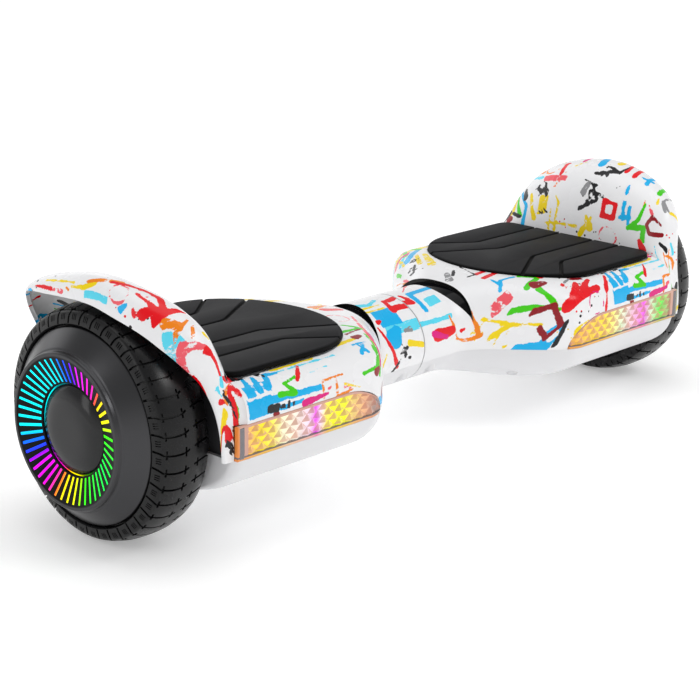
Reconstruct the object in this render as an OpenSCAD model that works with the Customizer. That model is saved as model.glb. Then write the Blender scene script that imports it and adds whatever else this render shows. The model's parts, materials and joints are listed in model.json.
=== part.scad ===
/* [Overall] */
// Height of the wheel axles above the ground, which is also the tyre's outer radius
axle_z = 82.5; // [78:0.5:86]
// Half length of the board, from the centre seam to the face of a hub
half_len = 318.5; // [314:0.5:322]
// Front to back depth of the body
body_depth = 196; // [186:1:200]
// Height of the deck above the ground, on the centre line
deck_z = 122.5; // [121:0.5:124]
// Wall thickness of the plastic shells
wall = 3; // [2.6:0.2:3.4]

/* [Neck] */
// Front to back depth of the neck at the centre seam
neck_depth = 77.2; // [74:0.2:80]
// Height of the neck at the centre seam
neck_height = 69; // [66:0.5:72]
// Gap between the two halves at the centre seam
seam_gap = 1.2; // [0.8:0.1:2]

/* [Foot pads] */
// Height of the top of the foot pads above the ground
pad_top_z = 124.6; // [124.4:0.1:125]
// Distance a pad sinks when it is stood on
pad_travel = 1.5; // [1:0.1:1.6]

/* [Wheels] */
// Width of the tyre
tyre_w = 44.6; // [43:0.2:45]
// Number of light slots in each hub cover
light_slots = 48; // [36:2:60]

/* [Centre pivot] */
// Outer radius of the pivot tube that joins the halves
pivot_r = 16; // [15:0.5:17]

/* [Hidden] */
SIDES = ["left", "right"];
SIDE_PARTS = ["top_shell", "bottom_shell", "foot_pad", "sensor_board", "chassis", "axle_clamp",
    "clamp_screws", "axle", "stator", "motor_bell", "motor_cover", "magnets", "inner_bearing",
    "outer_bearing", "hub_cover", "wheel_light_ring", "wheel_led_board", "centre_cap", "tyre",
    "headlight_lens", "headlight_housing", "headlight_leds", "indicator_window", "shell_screws"];
CENTRE_PARTS = ["pivot_tube", "pivot_bushes", "pivot_retaining_ring", "wire_harness", "main_board",
    "battery_pack", "battery_strap", "power_bezel", "power_button", "charge_port", "charge_cap"];

// Body sections: each is a rounded outline about the point (0, mid_z), given as a polar radius
mid_z = 80;
part_z = 70;
part_gap = 0.15;
deck_under_z = 115.5;
shoulder_start = 40;
foot_u = 244;
row_count = 19;
low_row_count = 9;
corner_u = 8;
corner_k = 0.08;
end_in_k = 0.3;

// Fender ridge and lip, as [angle from upright towards the front, [distance from seam, radius]]
ridge_front = [[0, [287, 105]], [16, [283, 105.5]], [33, [273, 108]], [44, [266, 108]],
    [54, [263, 104]], [63, [261, 98.5]], [75, [260, 94.5]], [96, [260, 95]]];
ridge_rear = [[0, [287, 105]], [16, [288, 105.5]], [33, [288, 109]], [44, [285, 109.5]],
    [54, [273, 104.5]], [63, [263, 99]], [75, [260, 94.5]], [96, [260, 95]]];
lip_front = [[0, [300, 88.5]], [20, [298, 88.5]], [40, [290, 92]], [52, [280, 92.6]],
    [61, [271, 92.2]], [73, [265, 91.8]], [96, [262, 92.5]]];
lip_rear = [[0, [300, 88.5]], [12, [300, 90]], [24, [300, 95]], [34, [299, 102.5]],
    [41, [293, 106.5]], [50, [284, 104]], [63, [270, 97.5]], [75, [264, 92.5]], [96, [262, 92.5]]];
ridge_steps = 6;
lip_steps = 4;

// Foot pad outline
pad_in = 92;
pad_out = 242;
pad_half_y = 79;
pad_corner = 12;
pad_nose = 66;
pad_clear = 0.6;
nose_step = 6;
corner_step = 15;
recess_z = 118;
pad_under_z = 120;
groove_w = 2.2;
groove_depth = 1.4;
// Grooves of one half of a pad's top, each [outer end, elbow, inner end] as [distance, depth]
pad_grooves = [[[246, 18], [157, 18], [104, 49]], [[246, 45], [160, 45], [128, 70]]];
pin_u = 172;
pin_y = 40;
pin_r = 3;
pin_low_z = 112;
board_z = 106;
board_t = 1.6;
sensor_w = 28;
sensor_len = 108;
switch_w = 8;
switch_gap = 0.4;
pillar_y = 20;
pillar_r = 3.5;
chip_w = 10;
chip_t = 1.2;

// Front light
lens_in = 110;
lens_blade = 40;
lens_out = 253;
lens_low_z = 70.3;
lens_top_z = 94;
lens_t = 2.5;
lens_proud = 0.3;
lens_gap = 0.4;
lamp_depth = 14;
lamp_wall = 2;
lamp_inset = 1.6;
strip_u = 140;
strip_len = 100;
strip_y = -88;
strip_z = 78;
strip_h = 8;
strip_t = 1.4;
led_count = 10;
led_pitch = 9.6;
led_w = 3;
led_t = 1.2;

// Crescent window over the neck
window_half_y = 42;
window_neck_u = 40;
window_deck_u = 57;
window_tip_u = 54;
window_sink = 3;
window_t = 2;
window_steps = 9;
window_inset = 0.4;
crescent_tip = 0.3;

// Wheel: the profiles are [radius, distance from the tyre's middle] or [radius, distance from the seam]
tyre_u = 258.3;
tread_drop = 5.2;
tread_power = 2.6;
tread_steps = 10;
rim_r = 61.5;
bead_in = [[rim_r, -18.4], [69, -18.8], [72, -21.7]];
bead_out = [[71, 21.5], [69.4, 20], [69.2, 18.2], [rim_r, 17.9]];
slot_out_r = 50.1;
slot_in_r = 33;
slot_w = 2.6;
dish_r = 31.8;
dish_u = 311.2;
hub_profile = [[66, 299], [68.6, 299], [68.9, 301], [68.2, 302.4], [56.4, 313.6], [54.9, 314.4],
    [54.6, 317.4], [53.7, half_len], [51.2, half_len], [50.7, 318.2], [dish_r, dish_u],
    [dish_r, dish_u - 1.8], [50.4, 316.2], [51.6, 315.4], [52.4, 313.2], [66, 300.4]];
ring_profile = [[32.4, 307.6], [32.4, 309.1], [50.2, 315.6], [50.2, 314.1]];
cap_profile = [[0, 314.6], [10, 314.4], [19, 313.6], [26, 312.2], [30.6, 310.6], [31.5, 309.4],
    [31.5, 307], [28.5, 307], [28.5, 308.6], [18, 311], [0, 312]];
led_ring_u = 303.5;
led_ring_t = 1.5;
led_ring_out_r = 50;
led_ring_in_r = 28;
ring_led_count = 24;
ring_led_at = 40;
ring_led_w = 3;
ring_led_t = 1.3;
ring_post_count = 3;
ring_post_at = 34;
ring_post_r = 2.5;

// Hub motor and axle, as distances from the seam
drum_in_r = 54;
bell_u = 261;
bell_len = 37.4;
bell_floor = 4;
hub_boss_r = 20;
bell_boss_len = 9;
cover_u = 293;
cover_t = 4;
cover_boss_len = 5;
cover_gap = 0.1;
cover_screw_count = 6;
cover_screw_at = 47;
cover_screw_r = 2;
axle_r = 7.5;
axle_bore_r = 3;
axle_end_u = 300;
bearing_r = 16;
bearing_w = 8.5;
inner_bearing_u = 261.5;
outer_bearing_u = 288;
race_out_r = 13.6;
race_in_r = 10.2;
race_depth = 0.5;
run_clear = 0.05;
magnet_count = 28;
magnet_at = 50.5;
magnet_t = 3;
magnet_w = 9.6;
magnet_u = 267;
magnet_len = 24;
teeth = 27;
tooth_w = 3.2;
shoe_w = 8.4;
shoe_r = 46;
stator_r = 49.2;
stator_root_r = 30;
stator_u = 272;
stator_len = 14;
coil_in_r = 31;
coil_len = 14;
coil_w = 5.8;
coil_bulge = 2.5;
coil_side_w = 1.5;
coil_lap = 0.4;
coil_inset = 0.2;

// Chassis, pivot and fixings
plate_z = 46;
plate_t = 4;
end_u = 246;
end_t = 4;
bush_r = 19;
end_k = 0.84;
end_step = 6;
// Half outline of the floor plate, as [distance from the seam, depth], and its rails
plate_half = [[247, 50], [110, 48], [78, 26]];
rail_u = 110;
rail_ys = [-47, 41];
rail_w = 6;
rail_h = 8;
saddle_u = 222;
saddle_half_y = 22;
clamp_us = [229, 239];
clamp_y = 15;
clamp_h = 18;
clamp_screw_r = 2.5;
clamp_screw_z = 62;
clamp_head_r = 4.2;
clamp_head_h = 5;
clamp_key_r = 2.2;
clamp_key_depth = 3;
screw_clear = 0.1;
block_u = 24;
block_len = 52;
block_r = 24;
// Struts under the pivot block: [near corner, size]
struts = [[[50, -14, 51.5], [26, 28, 12]], [[70, -14, 46], [16, 28, 15.5]]];
tube_left = 76;
tube_right = 81;
tube_wall = 3.5;
ring_u = 76.6;
ring_t = 2;
ring_r = 20;
ring_slot = 5;
ring_seat = 1;
bush_us = [26, 60];
bush_len = 12;
harness_half = 96;
harness_at = 2.2;
wire_r = 1.8;
cut = 1;
cut_far = 40;
screw_spots = [[16, 28], [92, 52], [228, 58]];
boss_r = 5.5;
head_r = 3.8;
head_t = 2.4;
head_sink = 5;
head_clear = 0.4;
shank_r = 1.9;
boss_lift = 1.5;
cross_len = 4.4;
cross_w = 1;

// Main board, in the left half, and battery, in the right half
main_u = 112;
main_len = 100;
main_half_y = 36;
main_z = 58;
main_posts = [[118, 30], [206, 30]];
main_post_r = 3;
solder = 0.1;
capacitor_count = 4;
capacitor_at = [124, 26];
capacitor_pitch = 13;
capacitor_r = 5;
capacitor_h = 16;
driver_count = 7;
driver_at = [130, -30];
driver_pitch = 8;
driver_size = [3, 22, 14];
processor_at = [150, -2];
processor_size = [12, 12, 1.5];
battery_u = 100;
battery_len = 116;
battery_half_y = 39;
battery_r = 6;
battery_h = 42;
strap_us = [128, 180];
strap_w = 12;
strap_t = 1.5;
strap_play = 1;

// Charging socket and power button, in the rear wall of the left half
port_u = 140;
button_u = 185;
port_z = 86;
port_face_y = 97.6;
port_depth = 16;
port_hole_r = 11.4;
port_r = 10.6;
port_lip = 1.6;
port_floor = 4;
socket_r = 6;
contact_zone = 3.8;
contact_zone_r = 5.2;
contact_count = 3;
contact_at = 3;
contact_r = 0.8;
contact_len = 3;
bezel_r = 11;
bezel_len = 7.6;
bezel_floor = 2;
button_r = 7.2;
button_len = 4;
button_gap = 0.4;
button_sink = 4.2;
mark_out_r = 4;
mark_in_r = 2.8;
mark_depth = 0.6;
cap_r = 9.6;
cap_t = 1.4;
cap_sink = 1.2;
cap_tab_from = 8;
cap_hinge_dz = 10.1;
cap_hinge_dy = 0.5;
hinge_r = 0.7;
hinge_len = 6;
circle_fn = 96;
small_fn = 32;

function mix(a, b, t) = a + (b - a) * t;
function ease(t) = let (c = min(max(t, 0), 1)) c * c * (3 - 2 * c);

// Smooth curve through a short list of [position, value] points
function slope(p, i) = let (a = max(i - 1, 0), b = min(i + 1, len(p) - 1))
    (p[b][1] - p[a][1]) / (p[b][0] - p[a][0]);
function curve(p, t) = let (
    c = min(max(t, p[0][0]), p[len(p) - 1][0] - 0.001),
    i = max([for (k = [0 : len(p) - 2]) if (p[k][0] <= c) k]),
    h = p[i + 1][0] - p[i][0],
    s = (c - p[i][0]) / h)
    p[i][1] * (1 + 2 * s) * (1 - s) ^ 2 + p[i + 1][1] * s * s * (3 - 2 * s)
    + slope(p, i) * h * s * (1 - s) ^ 2 + slope(p, i + 1) * h * s * s * (s - 1);

// Size of the body section at distance u from the seam
function half_w(u) = mix(neck_depth / 2, body_depth / 2, ease((u - shoulder_start) / 84));
function mid(u) = mix(axle_z, mid_z, ease((u - shoulder_start) / 84));
function top_h(u) = mix(neck_height / 2 + axle_z, deck_z, ease((u - shoulder_start) / 56)) - mid(u);
function low_h(u) = mid(u) - mix(axle_z - neck_height / 2, 34, ease((u - 30) / 95));
function top_n(u) = mix(2, 5.2, ease((u - shoulder_start) / 66));
function low_n(u) = mix(2, 2.6, ease((u - shoulder_start) / 66));

// Polar radius of the section at angle a from upright
function radius(u, a) = let (
    h = cos(a) > 0 ? top_h(u) : low_h(u),
    n = cos(a) > 0 ? top_n(u) : low_n(u))
    ((abs(sin(a)) / half_w(u)) ^ n + (abs(cos(a)) / h) ^ n) ^ (-1 / n);

// Half depth of the section at height z, and the height of its top at depth y
function side_y(u, z) = let (
    h = z > mid(u) ? top_h(u) : low_h(u),
    n = z > mid(u) ? top_n(u) : low_n(u))
    half_w(u) * (1 - (abs(z - mid(u)) / h) ^ n) ^ (1 / n);
function top_at(u, y) = mid(u) + top_h(u) * (1 - (abs(y) / half_w(u)) ^ top_n(u)) ^ (1 / top_n(u));

// Angle at which a section crosses height z, measured from upright
function angle_at(u, z) = 90 + atan2(mid(u) - z, side_y(u, z));

// A point [x, y, z]: distance u from the seam, angle a from upright, positive towards the rear
function polar(u, r, a, m) = [u, r * sin(a), m + r * cos(a)];
function body_point(u, a) = polar(u, radius(u, a), a, mid(u));

// Fender path at angle a: foot to ridge for t from 0 to 1, ridge to lip for t from 1 to 2
function bezier(p0, p1, p2, p3, t) =
    p0 * (1 - t) ^ 3 + p1 * 3 * t * (1 - t) ^ 2 + p2 * 3 * t * t * (1 - t) + p3 * t ^ 3;
function fender_path(a, t) = let (
    foot = [foot_u, radius(foot_u, a)],
    ridge = curve(a < 0 ? ridge_front : ridge_rear, abs(a)),
    lip = curve(a < 0 ? lip_front : lip_rear, abs(a)),
    rise = ridge - foot,
    drop = lip - ridge)
    t <= 1
    ? bezier(foot, foot + [rise[0] * 0.02, rise[1] * 0.5], ridge - [rise[0] * 0.6, 0], ridge, t)
    : bezier(ridge, ridge + [drop[0] * 0.7, 0], lip - [0, drop[1] * 0.5], lip, t - 1);
function fender_point(a, t) = let (p = fender_path(a, t)) polar(p[0], p[1], a, mid_z);

// The outer skin of the top shell: s is a distance along the body, then along the fender
function skin(s, a) = s <= foot_u ? body_point(s, a) : fender_point(a, s - foot_u);
top_stops = [seam_gap / 2, 12, 24, 34, 40, 46, 52, 58, 64, 70, 76, 82, 90, 98, 108, 120, 150, 200,
    foot_u, for (i = [1 : ridge_steps]) foot_u + i / ridge_steps,
    for (i = [1 : lip_steps]) foot_u + 1 + i / lip_steps];

function unit(v) = v / norm(v);
function flat(v, edge) = edge ? [v[0], v[1], 0] : v;

// Outward direction of a skin at row a, level along its parting edge; e is the step either side
function outward(ds, da, edge) = unit(flat(cross(ds, da), edge));
function skin_out(s, a, edge) = let (e = s < foot_u - 1 ? 1 : 0.02, last = foot_u + 2)
    outward(skin(min(s + e, last), a) - skin(max(s - e, 0), a),
        skin(s, a + 0.5) - skin(s, a - 0.5), edge);
function inner_skin(s, a, edge) = let (
    p = skin(s, a) - skin_out(s, a, edge) * wall,
    deck = s > 84 && s <= foot_u)
    deck ? [p[0], p[1], min(p[2], deck_under_z)] : p;

// The bottom shell's skin: along the body, round the corner, then in across its end wall
function low_skin(s, a) = let (
    t = s - end_u,
    u = t <= 0 ? s : end_u + corner_u * sin(90 * min(t, 1)),
    k = t <= 0 ? 1 : 1 - corner_k * (1 - cos(90 * min(t, 1))) - max(t - 1, 0) * end_in_k,
    p = polar(u, k * radius(min(s, end_u), a), a, mid(min(s, end_u))))
    [p[0], p[1], min(p[2], part_z - part_gap)];
function low_out(s, a, edge) = let (b = 90 * min(max(s - end_u, 0), 1))
    s < end_u - 1
    ? outward(low_skin(s + 1, a) - low_skin(max(s - 1, 0), a),
        low_skin(s, a + 0.5) - low_skin(s, a - 0.5), edge)
    : unit(flat([sin(b), cos(b) * sin(a), cos(b) * cos(a)], edge));
low_stops = [seam_gap / 2, 14, 27, 40, 50, 60, 70, 80, 92, 106, 124, 160, 200, end_u,
    end_u + 0.35, end_u + 0.7, end_u + 1, end_u + 2];

// A closed sheet between two grids of points that have the same rows and columns
function quad(a, b, c, d) = [[a, b, c], [a, c, d]];
module sheet(outer, inner) {
    rows = len(outer);
    cols = len(outer[0]);
    half = rows * cols;
    points = [for (g = [outer, inner], r = g, p = r) p];
    faces = [
        for (i = [0 : rows - 2], j = [0 : cols - 2]) let (k = i * cols + j)
            each concat(quad(k, k + 1, k + cols + 1, k + cols),
                quad(half + k, half + k + cols, half + k + cols + 1, half + k + 1)),
        for (i = [0 : rows - 2], e = [0, 1]) let (k = i * cols + e * (cols - 1))
            each e == 0 ? quad(k, k + cols, half + k + cols, half + k)
                : quad(k, half + k, half + k + cols, k + cols),
        for (j = [0 : cols - 2], e = [0, 1]) let (k = e * (rows - 1) * cols + j)
            each e == 0 ? quad(k, half + k, half + k + 1, k + 1)
                : quad(k, k + 1, half + k + 1, half + k)];
    polyhedron(points, faces);
}

// Rows run from one parting edge to the other
function edge_angle(u, z) = angle_at(min(u, foot_u), z);
top_rows = [for (j = [-row_count : row_count]) j / row_count];
low_rows = [for (j = [-low_row_count : low_row_count]) j / low_row_count];

module top_sheet() {
    last = len(top_rows) - 1;
    sheet([for (s = top_stops) let (e = edge_angle(s, part_z + part_gap))
            [for (v = top_rows) skin(s, v * e)]],
        [for (s = top_stops) let (e = edge_angle(s, part_z + part_gap))
            [for (j = [0 : last]) inner_skin(s, top_rows[j] * e, j == 0 || j == last)]]);
}

module low_sheet() {
    last = len(low_rows) - 1;
    sheet([for (s = low_stops) let (e = 180 - edge_angle(min(s, end_u), part_z - part_gap))
            [for (v = low_rows) low_skin(s, 180 + v * e)]],
        [for (s = low_stops) let (e = 180 - edge_angle(min(s, end_u), part_z - part_gap))
            [for (j = [0 : last]) let (a = 180 + low_rows[j] * e)
                low_skin(s, a) - low_out(s, a, j == 0 || j == last) * wall]]);
}

// Outline of the front light: flat below, level above, with a curved blade at its inner end
function lens_u(a, grow) = lens_in + lens_blade - (lens_blade + grow) * cos(a);
function lens_outline(grow) = concat(
    [[lens_out + grow, lens_low_z - grow]],
    [for (a = [0 : corner_step : 90]) [lens_u(a, grow),
        lens_low_z - grow + (lens_top_z - lens_low_z + 2 * grow) * sin(a)]],
    [[lens_out + grow, lens_top_z + grow]]);

// A band of the front face between two depths under the surface, inside the light's outline
band_stops = [lens_in + 1.5, 113, 117, 122, 128, 136, 146, 160, 190, 222, lens_out];
function band_top(u) = u >= lens_in + lens_blade ? lens_top_z
    : lens_low_z + (lens_top_z - lens_low_z) * sqrt(1 - ((lens_in + lens_blade - u) / lens_blade) ^ 2);
function band_row(u, depth, inset) = [for (v = [0 : 4]) let (
    z = mix(lens_low_z + inset, max(band_top(u) - inset, lens_low_z + inset + 0.4), v / 4))
    [u, depth - side_y(u, z), z]];
module front_band(depth_out, depth_in, inset = 0) {
    stops = [for (u = band_stops) mix(u, (lens_in + lens_out) / 2, inset / 60)];
    sheet([for (u = stops) band_row(u, depth_out, inset)],
        [for (u = stops) band_row(u, depth_in, inset)]);
}

// Plan outline of a foot pad: a half ellipse towards the neck and rounded outer corners
function pad_outline(grow) = concat(
    [for (b = [-90 : nose_step : 90]) [pad_in + pad_nose - (pad_nose + grow) * cos(b),
        (pad_half_y + grow) * sin(b)]],
    [for (b = [90 : -corner_step : 0]) [pad_out - pad_corner + (pad_corner + grow) * cos(b),
        pad_half_y - pad_corner + (pad_corner + grow) * sin(b)]],
    [for (b = [0 : -corner_step : -90]) [pad_out - pad_corner + (pad_corner + grow) * cos(b),
        pad_corner - pad_half_y + (pad_corner + grow) * sin(b)]]);

// Plan outline of the crescent window, between the neck and the edge of the shoulder
function window_neck(y) = mix(window_neck_u, window_tip_u, (y / window_half_y) ^ 2);
function window_deck(y) = mix(window_deck_u, window_tip_u, (y / window_half_y) ^ 2);
window_ys = [for (k = [-window_steps : window_steps]) k / window_steps * window_half_y];
module crescent(grow) {
    reach = 1 - (crescent_tip - grow) / window_half_y;
    polygon(concat([for (y = window_ys) [window_neck(y) - grow, y * reach]],
        [for (i = [len(window_ys) - 1 : -1 : 0]) let (y = window_ys[i])
            [window_deck(y) + grow, y * reach]]));
}

// Solids turned about the wheel axle, from profiles of [radius, distance from the seam]
module on_axle() translate([0, 0, axle_z]) rotate([0, 90, 0]) children();
module turned(profile) on_axle() rotate_extrude($fn = circle_fn) polygon(profile);
module tube(len, r_out, r_in) difference() {
    cylinder(h = len, r = r_out, $fn = circle_fn);
    translate([0, 0, -cut]) cylinder(h = len + 2 * cut, r = r_in, $fn = circle_fn);
}
module axle_tube(u, len, r_out, r_in) on_axle() translate([0, 0, u]) tube(len, r_out, r_in);
module round_about(count) for (k = [0 : count - 1]) rotate([0, 0, k * 360 / count]) children();

// A part of one half: drawn on the left (+X) side, mirrored for the right
module on_side(side) {
    if (side == "left") children();
    else mirror([1, 0, 0]) children();
}

// Height of the underside of the body at distance u and depth y
function low_at(u, y) = mid(u) - low_h(u) * (1 - (abs(y) / half_w(u)) ^ low_n(u)) ^ (1 / low_n(u));

module top_shell(side) color("white") on_side(side) difference() {
    top_sheet();
    translate([0, 0, recess_z]) linear_extrude(cut_far) polygon(pad_outline(pad_clear));
    rotate([90, 0, 0]) linear_extrude(body_depth) polygon(lens_outline(lens_gap));
    translate([0, 0, axle_z]) linear_extrude(cut_far) crescent(0);
    for (y = [-pin_y, pin_y]) translate([pin_u, y, board_z])
        cylinder(h = cut_far, r = pin_r + pad_clear, $fn = small_fn);
    if (side == "left") for (u = [port_u, button_u])
        translate([u, port_face_y - port_depth, port_z]) rotate([-90, 0, 0])
            cylinder(h = cut_far, r = port_hole_r, $fn = small_fn * 2);
}

module bottom_shell(side) color("whitesmoke") on_side(side) difference() {
    union() {
        low_sheet();
        for (p = screw_spots, y = [-p[1], p[1]]) let (z = low_at(p[0], p[1]) + boss_lift)
            translate([p[0], y, z])
                cylinder(h = part_z - part_gap - z, r = boss_r, $fn = small_fn);
    }
    for (p = screw_spots, y = [-p[1], p[1]]) translate([p[0], y, 0]) {
        cylinder(h = low_at(p[0], p[1]) + head_sink, r = head_r + head_clear, $fn = small_fn);
        cylinder(h = part_z - cut, r = shank_r + screw_clear, $fn = small_fn);
    }
}

module shell_screws(side) color("dimgray") on_side(side)
    for (p = screw_spots, y = [-p[1], p[1]])
        translate([p[0], y, low_at(p[0], p[1]) + head_sink - head_t]) difference() {
            union() {
                cylinder(h = head_t, r = head_r, $fn = small_fn);
                cylinder(h = part_z - 2 * cut - low_at(p[0], p[1]) - head_sink + head_t,
                    r = shank_r, $fn = small_fn);
            }
            for (a = [0, 90]) rotate([0, 0, a]) cube([cross_len, cross_w, 2 * cut], center = true);
        }

// One straight stretch of a groove in a pad
module groove(p, q) translate(p) rotate([0, 0, atan2(q[1] - p[1], q[0] - p[0])])
    translate([-groove_w / 2, -groove_w / 2]) square([norm(q - p) + groove_w, groove_w]);
module grooves() for (m = [-1, 1], g = pad_grooves, k = [0, 1])
    groove([g[k][0], m * g[k][1]], [g[k + 1][0], m * g[k + 1][1]]);

module foot_pad(side) color("#26262a") on_side(side) {
    difference() {
        translate([0, 0, pad_under_z]) linear_extrude(pad_top_z - pad_under_z)
            polygon(pad_outline(0));
        translate([0, 0, pad_top_z - groove_depth]) linear_extrude(groove_depth + cut) grooves();
    }
    for (y = [-pin_y, pin_y]) translate([pin_u, y, pin_low_z])
        cylinder(h = pad_under_z - pin_low_z + cut / 2, r = pin_r, $fn = small_fn);
}

// Gyroscope board with the two switches that the pad's pins press
module sensor_board(side) color("darkgreen") on_side(side) {
    translate([pin_u - sensor_w / 2, -sensor_len / 2, board_z]) cube([sensor_w, sensor_len, board_t]);
    for (y = [-pin_y, pin_y]) translate([pin_u - switch_w / 2, y - switch_w / 2, board_z + board_t])
        cube([switch_w, switch_w, pin_low_z - pad_travel - switch_gap - board_z - board_t]);
    for (y = [-pillar_y, pillar_y]) translate([pin_u, y, board_z + board_t])
        cylinder(h = deck_under_z - board_z - board_t, r = pillar_r, $fn = small_fn);
    translate([pin_u - chip_w / 2, -chip_w / 2, board_z + board_t]) cube([chip_w, chip_w, chip_t]);
}

module chassis(side) color("#3a3c40") on_side(side) difference() {
    union() {
        translate([0, 0, plate_z]) linear_extrude(plate_t) polygon(concat(plate_half,
            [for (k = [len(plate_half) - 1 : -1 : 0]) [plate_half[k][0], -plate_half[k][1]]]));
        translate([end_u, 0, 0]) rotate([90, 0, 90]) linear_extrude(end_t)
            polygon([for (a = [0 : end_step : 359]) let (p = polar(0, end_k * radius(end_u, a), a, mid_z))
                [p[1], min(p[2], deck_under_z - 1)]]);
        translate([saddle_u, -saddle_half_y, plate_z + 1])
            cube([end_u - saddle_u + 1, 2 * saddle_half_y, axle_z - plate_z - 1]);
        on_axle() translate([0, 0, block_u]) cylinder(h = block_len, r = block_r, $fn = circle_fn);
        for (b = struts) translate(b[0]) cube(b[1]);
        for (y = rail_ys) translate([rail_u, y, plate_z + plate_t - 1])
            cube([end_u - rail_u, rail_w, rail_h]);
    }
    on_axle() cylinder(h = block_u + block_len + cut, r = side == "left" ? pivot_r : bush_r,
        $fn = circle_fn);
    on_axle() translate([0, 0, saddle_u - cut]) cylinder(h = cut_far, r = axle_r, $fn = circle_fn);
    clamp_holes();
}

module clamp_holes() for (u = clamp_us, y = [-clamp_y, clamp_y]) translate([u, y, clamp_screw_z - 2])
    cylinder(h = axle_z + cut_far, r = clamp_screw_r + screw_clear, $fn = small_fn);

module axle_clamp(side) color("#8d9096") on_side(side) difference() {
    translate([saddle_u + 1, -saddle_half_y, axle_z])
        cube([end_u - saddle_u - 2, 2 * saddle_half_y, clamp_h]);
    on_axle() cylinder(h = half_len, r = axle_r, $fn = circle_fn);
    clamp_holes();
}

module clamp_screws(side) color("silver") on_side(side)
    for (u = clamp_us, y = [-clamp_y, clamp_y]) translate([u, y, axle_z + clamp_h]) difference() {
        union() {
            translate([0, 0, clamp_screw_z - axle_z - clamp_h])
                cylinder(h = axle_z + clamp_h - clamp_screw_z, r = clamp_screw_r, $fn = small_fn);
            cylinder(h = clamp_head_h, r = clamp_head_r, $fn = small_fn);
        }
        translate([0, 0, clamp_head_h - clamp_key_depth])
            cylinder(h = clamp_head_h, r = clamp_key_r, $fn = 6);
    }

module axle(side) color("silver") on_side(side)
    axle_tube(saddle_u, axle_end_u - saddle_u, axle_r, axle_bore_r);

// Outline of the stator's laminations: a ring of teeth, each with a broad shoe at its tip
function turn(p, a) = [p[0] * cos(a) - p[1] * sin(a), p[0] * sin(a) + p[1] * cos(a)];
stator_outline = [for (k = [0 : teeth - 1], p = [[stator_root_r, -tooth_w / 2], [shoe_r, -tooth_w / 2],
    [shoe_r, -shoe_w / 2], [stator_r, -shoe_w / 2], [stator_r, shoe_w / 2], [shoe_r, shoe_w / 2],
    [shoe_r, tooth_w / 2], [stator_root_r, tooth_w / 2]]) turn(p, k * 360 / teeth)];
module stator(side) color("#b87333") on_side(side) on_axle() translate([0, 0, stator_u]) {
    difference() {
        linear_extrude(stator_len) polygon(stator_outline);
        translate([0, 0, -cut]) cylinder(h = stator_len + 2 * cut, r = axle_r, $fn = circle_fn);
    }
    for (z = [-coil_bulge, stator_len - cut]) round_about(teeth)
        translate([coil_in_r, -coil_w / 2, z]) cube([coil_len, coil_w, coil_bulge + cut]);
    for (m = [-1, 1]) round_about(teeth)
        translate([coil_in_r, m * (coil_w + tooth_w - coil_lap) / 4 - coil_side_w / 2, coil_inset])
            cube([coil_len, coil_side_w, stator_len - 2 * coil_inset]);
}

module motor_bell(side) color("#55585e") on_side(side) turned([[rim_r, bell_u],
    [rim_r, bell_u + bell_len], [drum_in_r, bell_u + bell_len], [drum_in_r, bell_u + bell_floor],
    [hub_boss_r, bell_u + bell_floor], [hub_boss_r, bell_u + bell_boss_len],
    [bearing_r, bell_u + bell_boss_len], [bearing_r, bell_u]]);

module motor_cover(side) color("#6b6e74") on_side(side) difference() {
    turned([[drum_in_r - cover_gap, cover_u], [drum_in_r - cover_gap, cover_u + cover_t],
        [bearing_r, cover_u + cover_t], [bearing_r, cover_u - cover_boss_len],
        [hub_boss_r, cover_u - cover_boss_len], [hub_boss_r, cover_u]]);
    on_axle() round_about(cover_screw_count) translate([cover_screw_at, 0, cover_u - cut])
        cylinder(h = cover_t + 2 * cut, r = cover_screw_r, $fn = small_fn);
}

module magnets(side) color("#9a9ca2") on_side(side) on_axle() round_about(magnet_count)
    translate([magnet_at, -magnet_w / 2, magnet_u]) cube([magnet_t, magnet_w, magnet_len]);

module bearing(u) difference() {
    axle_tube(u, bearing_w, bearing_r, axle_r + run_clear);
    for (e = [-cut, bearing_w - race_depth])
        axle_tube(u + e, cut + race_depth, race_out_r, race_in_r);
}
module inner_bearing(side) color("silver") on_side(side) bearing(inner_bearing_u);
module outer_bearing(side) color("silver") on_side(side) bearing(outer_bearing_u);

// Hub cover: a conical flange over the rim, a raised bead and a dished face with radial slots
module hub_cover(side) color("#4a4b4f") on_side(side) difference() {
    turned(hub_profile);
    on_axle() round_about(light_slots) translate([slot_in_r, -slot_w / 2, led_ring_u])
        cube([slot_out_r - slot_in_r, slot_w, cut_far]);
}

module wheel_light_ring(side) color("aqua") on_side(side) turned(ring_profile);

module wheel_led_board(side) color("darkgreen") on_side(side) {
    axle_tube(led_ring_u, led_ring_t, led_ring_out_r, led_ring_in_r);
    on_axle() round_about(ring_led_count)
        translate([ring_led_at, -ring_led_w / 2, led_ring_u + led_ring_t - solder])
            cube([ring_led_w, ring_led_w, ring_led_t]);
    on_axle() round_about(ring_post_count) translate([ring_post_at, 0, cover_u + cover_t])
        cylinder(h = led_ring_u - cover_u - cover_t + solder, r = ring_post_r, $fn = small_fn);
}

module centre_cap(side) color("#3c3d41") on_side(side) turned(cap_profile);

function tread_r(t) = axle_z - tread_drop * abs(t) ^ tread_power;
module tyre(side) color("#1c1c1e") on_side(side) let (middle = tyre_u + tyre_w / 2)
    turned([for (p = concat(bead_in,
        [for (k = [-tread_steps : tread_steps]) [tread_r(k / tread_steps), k / tread_steps * tyre_w / 2]],
        bead_out)) [p[0], middle + p[1]]]);

module headlight_lens(side) color("#ffd98a") on_side(side) front_band(-lens_proud, lens_t);

module headlight_housing(side) color("#8c8c90") on_side(side) difference() {
    front_band(lens_t + solder, lamp_depth);
    front_band(lens_t - lamp_wall, lamp_depth - lamp_wall, lamp_inset);
}

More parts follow.
